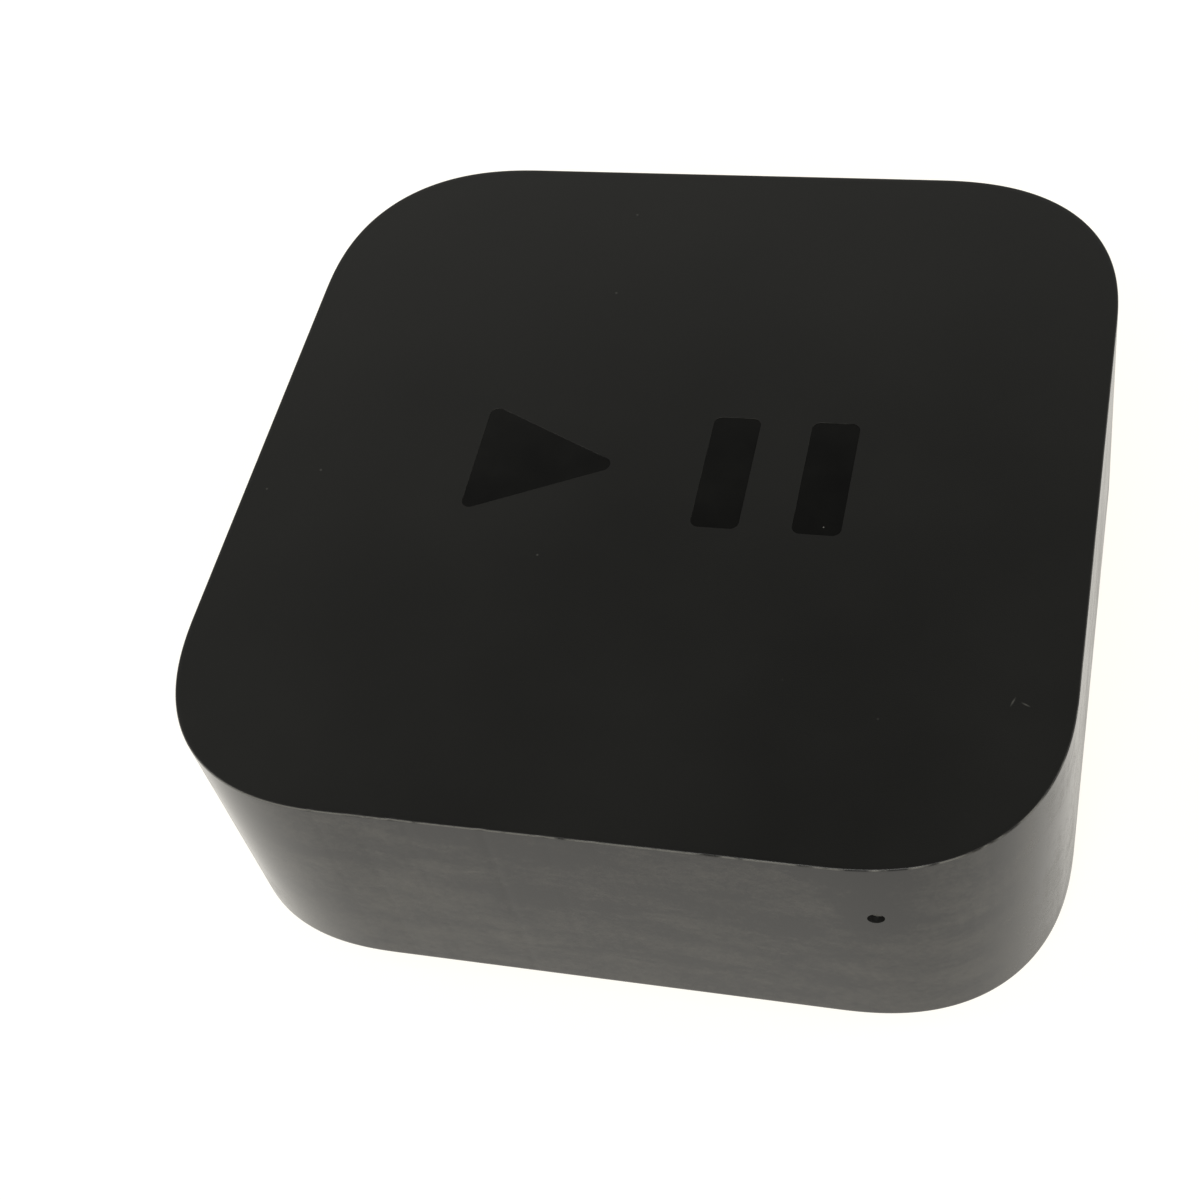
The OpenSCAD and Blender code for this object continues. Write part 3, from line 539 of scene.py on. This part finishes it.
# Polyester box of a film capacitor, moulded and potted: mustard yellow.
def pottedPolyester():
    look = startMaterial("pottedPolyester", "#c9962a", 0.4, ior=1.57)
    mottle(look, 5 * mm, ("#bd8b22", "#d3a236"), (0.34, 0.46))
    grain(look, 0.3 * mm, 0.006 * mm)
    return look[0]


# Phenolic fuse case, moulded: dark brown with a dull gloss.
def mouldedPhenolic():
    look = startMaterial("mouldedPhenolic", "#33231a", 0.35, ior=1.6)
    mottle(look, 2 * mm, ("#2b1d15", "#3c2a20"), (0.3, 0.42))
    return look[0]


slotFinishes = {
    "base_matt_black": mouldedPolycarbonate,
    "foot_rubber": mouldedSilicone,
    "socket_plastic": glassFilledNylon,
    "plated_steel": tinPlatedSteel,
    "gold_plating": goldPlatedBronze,
    "clear_plastic": frostedAcrylic,
    "dark_lens": infraredEpoxy,
    "board_green": solderMaskedBoard,
    "board_tan": phenolicPaper,
    "chip_resin": chipEpoxy,
    "ferrite": sinteredFerrite,
    "capacitor_ceramic": firedTitanate,
    "thermal_pad": calenderedSilicone,
    "cast_aluminium": blastedAluminium,
    "copper_wire": enamelledCopper,
    "winding_tape": polyesterTape,
    "polyimide": castPolyimide,
    "pale_plastic": naturalNylon,
    "can_sleeve": shrunkSleeve,
    "can_aluminium": drawnAluminium,
    "film_casing": pottedPolyester,
    "fuse_casing": mouldedPhenolic,
}
nodeFinishes = {"fan_bearing": sinteredBronze, "antenna_plates": etchedCopper}
made = {}


def finish(maker):
    if maker not in made:
        made[maker] = maker()
    return made[maker]


def finishOf(node):
    return finish(nodeFinishes.get(node) or slotFinishes[nodeSlots[node]])


print("shapes")


def objectFrom(name, bm):
    mesh = bpy.data.meshes.new(name)
    bm.to_mesh(mesh)
    bm.free()
    piece = bpy.data.objects.new(name, mesh)
    bpy.context.scene.collection.objects.link(piece)
    return piece


# Replaces an object's mesh with what its modifiers make of it.
def applyModifiers(piece):
    depsgraph = bpy.context.evaluated_depsgraph_get()
    mesh = bpy.data.meshes.new_from_object(piece.evaluated_get(depsgraph))
    piece.modifiers.clear()
    old, piece.data = piece.data, mesh
    mesh.name = piece.name
    bpy.data.meshes.remove(old)


# Joins a closed shape to a piece, or cuts it away. The shape may not pass through itself.
def addTo(piece, bm, operation):
    bmesh.ops.recalc_face_normals(bm, faces=bm.faces)
    other = objectFrom("other", bm)
    modifier = piece.modifiers.new("combine", "BOOLEAN")
    modifier.operation, modifier.solver, modifier.object = operation, "EXACT", other
    applyModifiers(piece)
    bpy.data.objects.remove(other)


def smoothFaces(piece, sharpAngle=32):
    for face in piece.data.polygons:
        face.use_smooth = True
    piece.data.set_sharp_from_angle(angle=math.radians(sharpAngle))
    weighted = piece.modifiers.new("weighted", "WEIGHTED_NORMAL")
    weighted.keep_sharp = True


# Puts a piece on its node's body, in the place of that node.
def standFor(piece, node):
    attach(piece, nodeBodies[node])
    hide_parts(node)


# A solid through rings of equally many points. Its ends are faces, or meet if it is closed.
def loft(bm, rings, closed=False):
    loops = [[bm.verts.new(p) for p in ring] for ring in rings]
    count = len(loops[0])
    pairs = list(zip(loops, loops[1:])) + ([(loops[-1], loops[0])] if closed else [])
    for first, second in pairs:
        for i in range(count):
            j = (i + 1) % count
            bm.faces.new((first[i], first[j], second[j], second[i]))
    if not closed:
        bm.faces.new(reversed(loops[0]))
        bm.faces.new(loops[-1])


# Layers are (outline, depth along the matrix's own Z).
def stack(bm, layers, matrix=Matrix()):
    loft(bm, [[matrix @ Vector((x, y, z)) for x, y in outline] for outline, z in layers])


# Turns a profile of (radius, height) round the matrix's own Z.
def turned(bm, profile, matrix=Matrix(), steps=48):
    angles = [2 * math.pi * i / steps for i in range(steps)]
    rings = [[matrix @ Vector((r * math.cos(a), r * math.sin(a), z)) for a in angles] for r, z in profile]
    loft(bm, rings)


# A round wire along a path that joins up with itself.
def wire(bm, path, radius, sides=8):
    rings = []
    for i, point in enumerate(path):
        along = (path[(i + 1) % len(path)] - path[i - 1]).normalized()
        side = along.cross(Vector((0, 0, 1)) if abs(along.z) < 0.9 else Vector((1, 0, 0))).normalized()
        up = side.cross(along)
        if rings and side.dot(rings[-1][0] - path[i - 1]) < 0:
            side, up = -side, -up
        turns = [2 * math.pi * k / sides for k in range(sides)]
        rings.append([point + (side * math.cos(t) + up * math.sin(t)) * radius for t in turns])
    loft(bm, rings, closed=True)


def rectangle(x, y, width, depth):
    return [(x, y), (x + width, y), (x + width, y + depth), (x, y + depth)]


# Outline with each corner rounded, from corners listed anticlockwise.
def rounded(corners, radius, steps=8):
    points = []
    for i, corner in enumerate(corners):
        c = Vector(corner)
        u = (Vector(corners[i - 1]) - c).normalized()
        v = (Vector(corners[(i + 1) % len(corners)]) - c).normalized()
        opening = u.angle(v)
        centre = c + (u + v).normalized() * radius / math.sin(opening / 2)
        foot = c + u * radius / math.tan(opening / 2) - centre
        start = math.atan2(foot.y, foot.x)
        for k in range(steps + 1):
            a = start + (math.pi - opening) * k / steps
            points.append((centre.x + radius * math.cos(a), centre.y + radius * math.sin(a)))
    return points


print("top shell")

# The corners are superellipses, and the walls are upright.
caseShape = {"cornerReach": 23.5 * mm, "cornerPower": 2.44, "leastReach": 4 * mm}


def cornerPoint(reach, angle):
    power = 2 / caseShape["cornerPower"]
    return reach * max(math.cos(angle), 0) ** power, reach * max(math.sin(angle), 0) ** power


# Stations evenly spaced round the outline, anticlockwise from the right side. Each is a quarter
# turn, and a place from -1 to 1 along the side or an angle round the corner after it.
def outlineStations(spacing):
    reach = caseShape["cornerReach"]
    fine = [math.radians(90) * i / 4000 for i in range(4001)]
    length = [0.0]
    for a, b in zip(fine, fine[1:]):
        length.append(length[-1] + math.dist(cornerPoint(reach, a), cornerPoint(reach, b)))
    sideSteps = round(2 * (halfWidth - reach) / spacing)
    cornerSteps = round(length[-1] / spacing)
    quarter = [("side", -1 + 2 * i / sideSteps) for i in range(sideSteps)]
    k = 0
    for i in range(cornerSteps):
        while length[k] < length[-1] * i / cornerSteps:
            k += 1
        quarter.append(("corner", fine[k]))
    return [(q, kind, value) for q in range(4) for kind, value in quarter]


def outlinePoint(station, inset, z):
    quarter, kind, value = station
    half = halfWidth - inset
    reach = max(caseShape["cornerReach"] - inset, caseShape["leastReach"])
    x, y = half, value * (half - reach)
    if kind == "corner":
        cx, cy = cornerPoint(reach, value)
        x, y = half - reach + cx, half - reach + cy
    for _ in range(quarter):
        x, y = -y, x
    return Vector((x, y, z))


shellDetail = {
    "spacing": 0.3 * mm,
    "edge": 0.2 * mm,          # radius of the edge round the top
    "rimEdge": 0.15 * mm,
    "rimWall": 1.2 * mm,
    "rebate": 2.2 * mm,
    "wall": 2.2 * mm,
    "roof": 2.4 * mm,
    "cutEdge": 0.22 * mm,      # chamfer round each opening
}
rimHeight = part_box("top_shell")[0].z
roofHeight = topHeight - shellDetail["roof"]


def shellProfile(d):
    profile = [(d["edge"] * 3, topHeight)]
    for k in range(6):
        a = math.radians(90 * k / 5)
        profile.append((d["edge"] * (1 - math.sin(a)), topHeight - d["edge"] * (1 - math.cos(a))))
    profile += [(0, topHeight - d["edge"] * 2), (0, rimHeight + d["rimEdge"] * 3)]
    for k in range(4):
        a = math.radians(90 * k / 3)
        profile.append((d["rimEdge"] * (1 - math.cos(a)), rimHeight + d["rimEdge"] * (1 - math.sin(a))))
    lip = 0.1 * mm
    curve = 0.6 * mm
    profile += [(d["rimWall"] - lip, rimHeight), (d["rimWall"], rimHeight + lip),
                (d["rimWall"], rimHeight + d["rebate"]), (d["wall"], rimHeight + d["rebate"]),
                (d["wall"], roofHeight - curve), (d["wall"] + curve, roofHeight)]
    return profile


# Small knocks along the front's top edge, most of them at the left. Places and sizes are in mm.
nickDetail = {"seed": 5, "left": 11, "count": 16, "leftSpan": (-33, -17), "rightSpan": (-17, 25),
              "width": (0.25, 0.6), "depth": (0.03, 0.09), "rings": 9, "reach": 3}


def nickEdge(rings, d):
    rng = random.Random(d["seed"])
    for i in range(d["count"]):
        x = rng.uniform(*d["leftSpan"] if i < d["left"] else d["rightSpan"])
        centre = Vector((x * mm, -halfWidth, topHeight))
        width = rng.uniform(*d["width"]) * mm
        depth = rng.uniform(*d["depth"]) * mm
        push = Vector((0, rng.uniform(0.5, 1), -rng.uniform(0.4, 1))).normalized() * depth
        for ring in rings[:d["rings"]]:
            for p in ring:
                far = (p - centre).length / width
                if far < d["reach"]:
                    p += push * math.exp(-far * far)


# A play-and-pause symbol. Its height, triangle, bars and gap are in parts of its width.
symbolShape = {"width": 44 * mm, "depth": 0.06 * mm, "height": 0.37, "play": 0.4, "bar": 0.125,
               "gap": 0.135, "round": 1.0 * mm}


def symbolOutlines(s):
    h, left = s["width"] * s["height"], -s["width"] / 2
    bar, gap = s["width"] * s["bar"], s["width"] * s["gap"]
    play = [(left, -h / 2), (left + s["width"] * s["play"], 0), (left, h / 2)]
    bars = [rectangle(-left - i * bar - (i - 1) * gap, -h / 2, bar, h) for i in (1, 2)]
    return [rounded(shape, s["round"], 12) for shape in (play, *bars)]


# Outlines of the openings, each larger all round by grow.
def mainsOutline(grow):
    lobe, at = 4.4 * mm + grow, 3.3 * mm
    right = [math.radians(-90 + 180 * i / 24) for i in range(25)]
    points = [(at + lobe * math.cos(a), lobe * math.sin(a)) for a in right]
    return points + [(-x, -y) for x, y in points]


def videoOutline(grow):
    w, h, cut = 7.5 * mm + grow, 2.95 * mm + grow, 2.1 * mm
    low = -h + cut + 0.3 * mm
    corners = [(-w + cut, -h), (w - cut, -h), (w, low), (w, h), (-w, h), (-w, low)]
    return rounded(corners, 0.3 * mm, 4)


def networkOutline(grow):
    w, h = 7.8 * mm + grow, 5.8 * mm + grow
    return rounded(rectangle(-w, -h, 2 * w, 2 * h), 0.25 * mm, 4)


def lightOutline(grow):
    r = 0.9 * mm + grow
    return [(r * math.cos(a), r * math.sin(a)) for a in (2 * math.pi * i / 32 for i in range(32))]


# Openings: outline, place along X and height in mm, play round the socket, chamfer, and whether
# it is in the back wall.
openings = [
    (mainsOutline, 17.5, 20.1, 0.1 * mm, shellDetail["cutEdge"], True),
    (videoOutline, 0, 17.9, 0.2 * mm, shellDetail["cutEdge"], True),
    (networkOutline, -17.5, 20.1, 0.2 * mm, shellDetail["cutEdge"], True),
    (lightOutline, 31, 25.2, 0.0, 0.08 * mm, False),
]
cutDepth, cutStart = 3 * mm, 0.5 * mm


# A cutter through a wall, with a chamfer at its outer face.
def openingCutter(bm, outline, x, z, play, chamfer, back):
    outward = 1 if back else -1
    place = Matrix.Translation((x * mm, outward * halfWidth, z * mm))
    steps = [(chamfer + cutStart, cutStart), (chamfer, 0.0), (0.0, -chamfer), (0.0, -cutDepth)]
    layers = [(outline(play + grow), -outward * depth) for grow, depth in steps]
    if back:
        layers.reverse()
    stack(bm, layers, place @ Matrix.Rotation(math.radians(90), 4, "X"))


def cutShell(shell):
    bm = bmesh.new()
    for outline in symbolOutlines(symbolShape):
        stack(bm, [(outline, topHeight - symbolShape["depth"]), (outline, topHeight + 1 * mm)])
    for opening in openings:
        openingCutter(bm, *opening)
    addTo(shell, bm, "DIFFERENCE")


# A boss is its outer and inner radius, foot and depth of bore. A ledge is its reach, length,
# thickness and height. A web joins each main boss to its corner.
shellInside = {
    "mainBosses": [(x * 36.5 * mm, y * 36.5 * mm) for x in (-1, 1) for y in (-1, 1)],
    "mainBoss": (3.5 * mm, 1.25 * mm, 17.2 * mm, 10 * mm),
    "powerBosses": [(x * 37 * mm, y * mm) for x in (-1, 1) for y in (-26, 22.5)],
    "powerBoss": (2.8 * mm, 1.0 * mm, 21.2 * mm, 7 * mm),
    "ledge": (0.9 * mm, 8 * mm, 1 * mm, 7 * mm),
    "ledgeAt": 14 * mm,
    "web": {"start": 36.5 * mm * math.sqrt(2) + 3.1 * mm, "length": 4.4 * mm,
            "thick": 1.4 * mm, "foot": 21.2 * mm},
}


def boss(bm, at, outer, inner, foot, depth):
    edge, fillet = 0.2 * mm, 0.5 * mm
    profile = [(0.01 * mm, foot + depth), (inner, foot + depth), (inner, foot + edge), (inner + edge, foot),
               (outer - edge, foot), (outer, foot + edge), (outer, roofHeight - fillet),
               (outer + fillet, roofHeight), (outer, roofHeight + edge)]
    turned(bm, profile, Matrix.Translation((*at, 0)), 32)


# The bosses go in before the ledges and webs, because the webs run into them.
def fillShell(shell, d):
    bm = bmesh.new()
    for kind in ("main", "power"):
        for at in d[kind + "Bosses"]:
            boss(bm, at, *d[kind + "Boss"])
    addTo(shell, bm, "UNION")
    reach, length, thick, z = d["ledge"]
    inner = halfWidth - shellDetail["wall"]
    web = d["web"]
    bm = bmesh.new()
    for q in range(4):
        turn = Matrix.Rotation(math.radians(90 * q), 4, "Z")
        for s in (-1, 1):
            shape = rectangle(inner - reach, s * d["ledgeAt"] - length / 2, reach + 0.3 * mm, length)
            stack(bm, [(shape, z), (shape, z + thick)], turn)
        shape = rectangle(web["start"], -web["thick"] / 2, web["length"], web["thick"])
        diagonal = Matrix.Rotation(math.radians(90 * q + 45), 4, "Z")
        stack(bm, [(shape, web["foot"]), (shape, roofHeight + 0.1 * mm)], diagonal)
    addTo(shell, bm, "UNION")


# How far a place on the shell lies inside the case's outline.
def insetOf(p):
    x, y = abs(p.x), abs(p.y)
    reach, power = caseShape["cornerReach"], caseShape["cornerPower"]
    flat = halfWidth - reach
    if x > flat and y > flat:
        return reach * (1 - (((x - flat) / reach) ** power + ((y - flat) / reach) ** power) ** (1 / power))
    return halfWidth - max(x, y)


# How a face of the shell gets its material: the top's faces lie within a band below the top height
# and face up, the sunk symbol lies well inside the outline, and the wall's faces lie near the top or
# near the outline.
shellZones = {"topBand": 0.1 * mm, "topSlope": 0.75, "symbolInset": 5 * mm, "rimBand": 1 * mm,
              "wallInset": 0.5 * mm}


def makeTopShell():
    stations = outlineStations(shellDetail["spacing"])
    rings = [[outlinePoint(s, inset, z) for s in stations] for inset, z in shellProfile(shellDetail)]
    nickEdge(rings, nickDetail)
    bm = bmesh.new()
    loft(bm, rings)
    bmesh.ops.recalc_face_normals(bm, faces=bm.faces)
    shell = objectFrom("topShell", bm)
    fillShell(shell, shellInside)
    cutShell(shell)
    shell.data.materials.clear()
    makers = (polishedPolycarbonate, sparkErodedPolycarbonate, mirrorPolishedSymbol, mouldedPolycarbonate)
    for maker in makers:
        shell.data.materials.append(finish(maker))
    wall, top, symbol, inside = range(4)
    zones = shellZones
    for face in shell.data.polygons:
        below, inset = topHeight - face.center.z, insetOf(face.center)
        if below < zones["topBand"] and face.normal.z > zones["topSlope"]:
            sunk = below > symbolShape["depth"] / 2 and inset > zones["symbolInset"]
            face.material_index = symbol if sunk else top
        else:
            outer = below < zones["rimBand"] or inset < zones["wallInset"]
            face.material_index = wall if outer else inside
    smoothFaces(shell)
    standFor(shell, "top_shell")


makeTopShell()

print("wound and turned pieces")


def addPiece(name, bm, node, makers, sharpAngle=32):
    bmesh.ops.recalc_face_normals(bm, faces=bm.faces)
    piece = objectFrom(name, bm)
    for maker in makers:
        piece.data.materials.append(finish(maker))
    smoothFaces(piece, sharpAngle)
    standFor(piece, node)
    return piece


# Two windings on a ring core, one at each side. The pitch is in degrees.
chokeDetail = {"centre": Vector((29 * mm, -6 * mm, 0)), "foot": 22.1 * mm, "height": 7 * mm,
               "inner": 3.8 * mm, "outer": 7.4 * mm, "wire": 0.45 * mm, "bend": 0.8 * mm,
               "turns": 6, "pitch": 17}


def makeChokeWindings(d):
    bm = bmesh.new()
    reach = d["wire"]
    width, height = d["outer"] - d["inner"] + 2 * reach, d["height"] + 2 * reach
    loop = rounded(rectangle(d["inner"] - reach, d["foot"] - reach, width, height), d["bend"], 6)
    for side in (90, 270):
        for i in range(d["turns"]):
            angle = math.radians(side + (i - (d["turns"] - 1) / 2) * d["pitch"])
            out = Vector((math.cos(angle), math.sin(angle), 0))
            wire(bm, [d["centre"] + out * r + Vector((0, 0, z)) for r, z in loop], d["wire"])
    addPiece("chokeWindings", bm, "choke_windings", [enamelledCopper])


# Coils round the blower's teeth, wound in layers.
fanCoilDetail = {"teeth": 6, "start": 5.1 * mm, "end": 7.5 * mm, "halfWidth": 1.9 * mm, "low": 7.7 * mm,
                 "high": 10.8 * mm, "wire": 0.13 * mm, "bend": 0.5 * mm, "layers": 3}


def makeFanCoils(d):
    bm = bmesh.new()
    turns = int((d["end"] - d["start"]) / (2 * d["wire"]))
    for tooth in range(d["teeth"]):
        turn = Matrix.Rotation(2 * math.pi * tooth / d["teeth"], 4, "Z")
        for layer in range(d["layers"]):
            side = d["halfWidth"] - d["wire"] * (1 + 2 * layer)
            low, high = d["low"] + d["wire"] * (1 + layer), d["high"] - d["wire"] * (1 + layer)
            loop = rounded(rectangle(-side, low, 2 * side, high - low), d["bend"], 3)
            for i in range(turns):
                x = d["start"] + d["wire"] * (1 + 2 * i)
                wire(bm, [turn @ Vector((x, y, z)) for y, z in loop], d["wire"], sides=6)
    addPiece("fanCoils", bm, "fan_coils", [enamelledCopper], 60)


# Cans in a shrunk sleeve, with the sleeve rolled over both ends and the can crimped near its bung,
# lying on a pad. Ends and crimp are (inset, distance from the end) in mm.
bulkDetail = {
    "places": [-7 * mm, 4.5 * mm, 16 * mm], "start": -28 * mm, "height": 26.4 * mm,
    "radius": 5.1 * mm, "length": 18 * mm, "steps": 64,
    "rolledEnd": [(0.9, 0.25), (0.8, 0.03), (0.5, 0), (0.15, 0.12), (0, 0.5)],
    "crimp": [(0, 2.6), (0.1, 2.3), (0.4, 1.9), (0.1, 1.5), (0, 1.2)],
}


def makeBulkCapacitors(d):
    bm = bmesh.new()
    r, length = d["radius"], d["length"]
    end = [(r - inset * mm, z * mm) for inset, z in d["rolledEnd"]]
    crimp = [(r - inset * mm, length - z * mm) for inset, z in d["crimp"]]
    sleeve = end + crimp + [(radius, length - z) for radius, z in reversed(end)]
    for x in d["places"]:
        along = Matrix.Translation((x, d["start"], d["height"])) @ Matrix.Rotation(math.radians(-90), 4, "X")
        turned(bm, sleeve, along, d["steps"])
        pad = rounded(rectangle(x - 4 * mm, d["start"] + 2 * mm, 8 * mm, 1.2 * mm), 0.2 * mm, 4)
        stack(bm, [(pad, d["height"] - 5.2 * mm), (pad, d["height"] - 3.7 * mm)])
    piece = addPiece("bulkCapacitors", bm, "bulk_capacitors", [shrunkSleeve, drawnAluminium])
    for face in piece.data.polygons:
        if len(face.vertices) == d["steps"]:
            face.material_index = 1


# Surface-mounted cans on a moulded base with two cut corners, crimped above it. Places are in mm,
# and so are crimp and top edge: (inset, height above the base) and (inset, distance below the top).
outputDetail = {
    "places": [(-26, -22), (-26, -11), (-26, 2)], "foot": 21.2 * mm, "radius": 4 * mm,
    "height": 9.5 * mm, "base": 8.3 * mm, "baseHeight": 1.2 * mm, "cut": 1.3 * mm,
    "crimp": [(0.3, 0), (0, 0.3), (0, 1.2), (0.3, 1.6), (0, 2)],
    "topEdge": [(0, 0.5), (0.15, 0.15), (0.5, 0), (0.9, 0), (1.0, 0.1)],
}


def makeOutputCapacitors(d):
    bm = bmesh.new()
    r, h, b, t, cut = d["radius"], d["height"], d["base"] / 2, d["baseHeight"], d["cut"]
    can = [(r - inset * mm, t + z * mm) for inset, z in d["crimp"]]
    can += [(r - inset * mm, h - z * mm) for inset, z in d["topEdge"]]
    base = [(-b, -b), (b - cut, -b), (b, -b + cut), (b, b - cut), (b - cut, b), (-b, b)]
    for x, y in d["places"]:
        at = Matrix.Translation((x * mm, y * mm, d["foot"]))
        turned(bm, can, at, 56)
        stack(bm, [(base, 0), (base, t)], at)
    piece = addPiece("outputCapacitors", bm, "output_capacitors", [drawnAluminium, glassFilledNylon])
    for face in piece.data.polygons:
        if face.center.z < d["foot"] + t + 0.01 * mm:
            face.material_index = 1


# Rows of chip capacitors in mm: how many along X and Y, first place, pitch, then length along X,
# width along Y and height. Each chip is a fired body between two tinned ends that stand a little
# proud of it. An end's length is in parts of half the chip's.
chipRows = [
    ((14, 4), (-20, -34), (2.6, 3.2), (1.6, 0.8, 0.8)),
    ((7, 2), (-34.5, 6), (2.4, 12), (0.8, 1.6, 0.8)),
    ((10, 1), (-14, 16), (2.6, 0), (1.0, 0.5, 0.5)),
]
chipDetail = {"foot": 17.2 * mm, "end": 0.25, "proud": 0.02 * mm}


def makeCeramicCapacitors(rows, d):
    bm = bmesh.new()
    for (countX, countY), first, pitch, (width, depth, height) in rows:
        along = 0 if width > depth else 1
        for i in range(countX):
            for j in range(countY):
                centre = [(first[0] + i * pitch[0]) * mm, (first[1] + j * pitch[1]) * mm]
                for part in (-1, 0, 1):
                    half, middle = [width / 2 * mm, depth / 2 * mm], list(centre)
                    long, shrink = half[along], 0 if part else d["proud"]
                    half[along] = long * d["end"] / 2 if part else long * (1 - d["end"])
                    middle[along] += part * (long - half[along])
                    half[1 - along] -= shrink
                    shape = rectangle(middle[0] - half[0], middle[1] - half[1], 2 * half[0], 2 * half[1])
                    stack(bm, [(shape, d["foot"]), (shape, d["foot"] + height * mm - shrink)])
    piece = addPiece("ceramicCapacitors", bm, "ceramic_capacitors", [firedTitanate, tinPlatedSteel])
    for i, face in enumerate(piece.data.polygons):
        face.material_index = 0 if i // 6 % 3 == 1 else 1


# Screws with their heads down, in mm: places, foot, then radius and length of the shank, and
# radius and height of the head.
screwSets = {
    "fan_screws": [([(-26.5, -26.5), (26.5, -26.5), (-26.5, 26.5)], 8.2, 0.8, 4.6, 1.5, 1.0)],
    "main_screws": [([(x, y) for x in (-36.5, 36.5) for y in (-36.5, 36.5)], 10.6, 1.2, 12.0, 2.4, 1.6)],
    "power_screws": [([(x, y) for x in (-37, 37) for y in (-26, 22.5)], 18.8, 0.95, 7.0, 1.9, 1.0),
                     ([(-39.5, -9), (-39.5, 5)], 15.1, 1.05, 2.8, 1.9, 0.9)],
}


# The thread is drawn as rings a pitch apart.
def screwProfile(shank, length, head, headHeight):
    pitch, root = 0.35 * shank, shank * 0.84
    profile = [(head * 0.8, 0), (head, headHeight * 0.35), (head, headHeight * 0.92),
               (head * 0.97, headHeight)]
    z = headHeight
    while z + pitch < headHeight + length - shank * 0.6:
        profile += [(root, z + pitch * 0.1), (shank, z + pitch * 0.5), (shank, z + pitch * 0.6),
                    (root, z + pitch)]
        z += pitch
    return profile + [(root, headHeight + length - shank * 0.5), (shank * 0.4, headHeight + length)]


def pieceName(node):
    words = node.split("_")
    return words[0] + "".join(word.capitalize() for word in words[1:])


def makeScrews(node, sets):
    bm, sockets = bmesh.new(), bmesh.new()
    for places, foot, *sizes in sets:
        shank, length, head, headHeight = [v * mm for v in sizes]
        corners = [math.pi * k / 3 for k in range(6)]
        hexagon = [(head * 0.5 * math.cos(a), head * 0.5 * math.sin(a)) for a in corners]
        for x, y in places:
            at = Matrix.Translation((x * mm, y * mm, foot * mm))
            turned(bm, screwProfile(shank, length, head, headHeight), at, 32)
            stack(sockets, [(hexagon, -1 * mm), (hexagon, headHeight * 0.6)], at)
    piece = addPiece(pieceName(node), bm, node, [tinPlatedSteel], 40)
    piece.modifiers.clear()
    addTo(piece, sockets, "DIFFERENCE")
    smoothFaces(piece, 40)


makeChokeWindings(chokeDetail)
makeFanCoils(fanCoilDetail)
makeBulkCapacitors(bulkDetail)
makeOutputCapacitors(outputDetail)
makeCeramicCapacitors(chipRows, chipDetail)
for node, sets in screwSets.items():
    makeScrews(node, sets)

print("pieces that follow their nodes")

# Radius of the rounded edges in mm, by slot and by node.
slotEdges = {
    "base_matt_black": 0.15, "foot_rubber": 0.25, "socket_plastic": 0.12, "plated_steel": 0.05,
    "chip_resin": 0.08, "ferrite": 0.2, "thermal_pad": 0.08, "cast_aluminium": 0.12, "winding_tape": 0.5,
    "pale_plastic": 0.05, "film_casing": 0.3, "fuse_casing": 0.3, "clear_plastic": 0.08, "board_green": 0.06,
    "board_tan": 0.08, "gold_plating": 0.03, "can_sleeve": 0.3, "can_aluminium": 0.3,
    "capacitor_ceramic": 0.06, "copper_wire": 0.05, "dark_lens": 0.1, "polyimide": 0.03,
}
nodeEdges = {"impeller": 0.08, "shield_lid": 0.06}
# Edges sharper than this angle, in degrees, are rounded in so many steps.
edgeAngle, edgeSteps = 32, 2


# A copy of a CAD node with its points welded, its flat faces joined and its hard edges rounded.
def roundedCopy(node, radius):
    bm = bmesh.new()
    bm.from_mesh(frame["nodes"][node].data)
    bmesh.ops.remove_doubles(bm, verts=bm.verts, dist=0.001 * mm)
    bmesh.ops.dissolve_limit(bm, angle_limit=math.radians(0.5), verts=bm.verts, edges=bm.edges)
    piece = objectFrom(pieceName(node), bm)
    bevel = piece.modifiers.new("edges", "BEVEL")
    bevel.width, bevel.segments, bevel.limit_method = radius, edgeSteps, "ANGLE"
    bevel.angle_limit = math.radians(edgeAngle)
    applyModifiers(piece)
    piece.data.materials.clear()
    piece.data.materials.append(finishOf(node))
    smoothFaces(piece)
    standFor(piece, node)


detailed = {"top_shell", "choke_windings", "fan_coils", "bulk_capacitors", "output_capacitors",
            "ceramic_capacitors", *screwSets}
for node, slot in sorted(nodeSlots.items()):
    if node not in detailed:
        roundedCopy(node, nodeEdges.get(node, slotEdges[slot]) * mm)
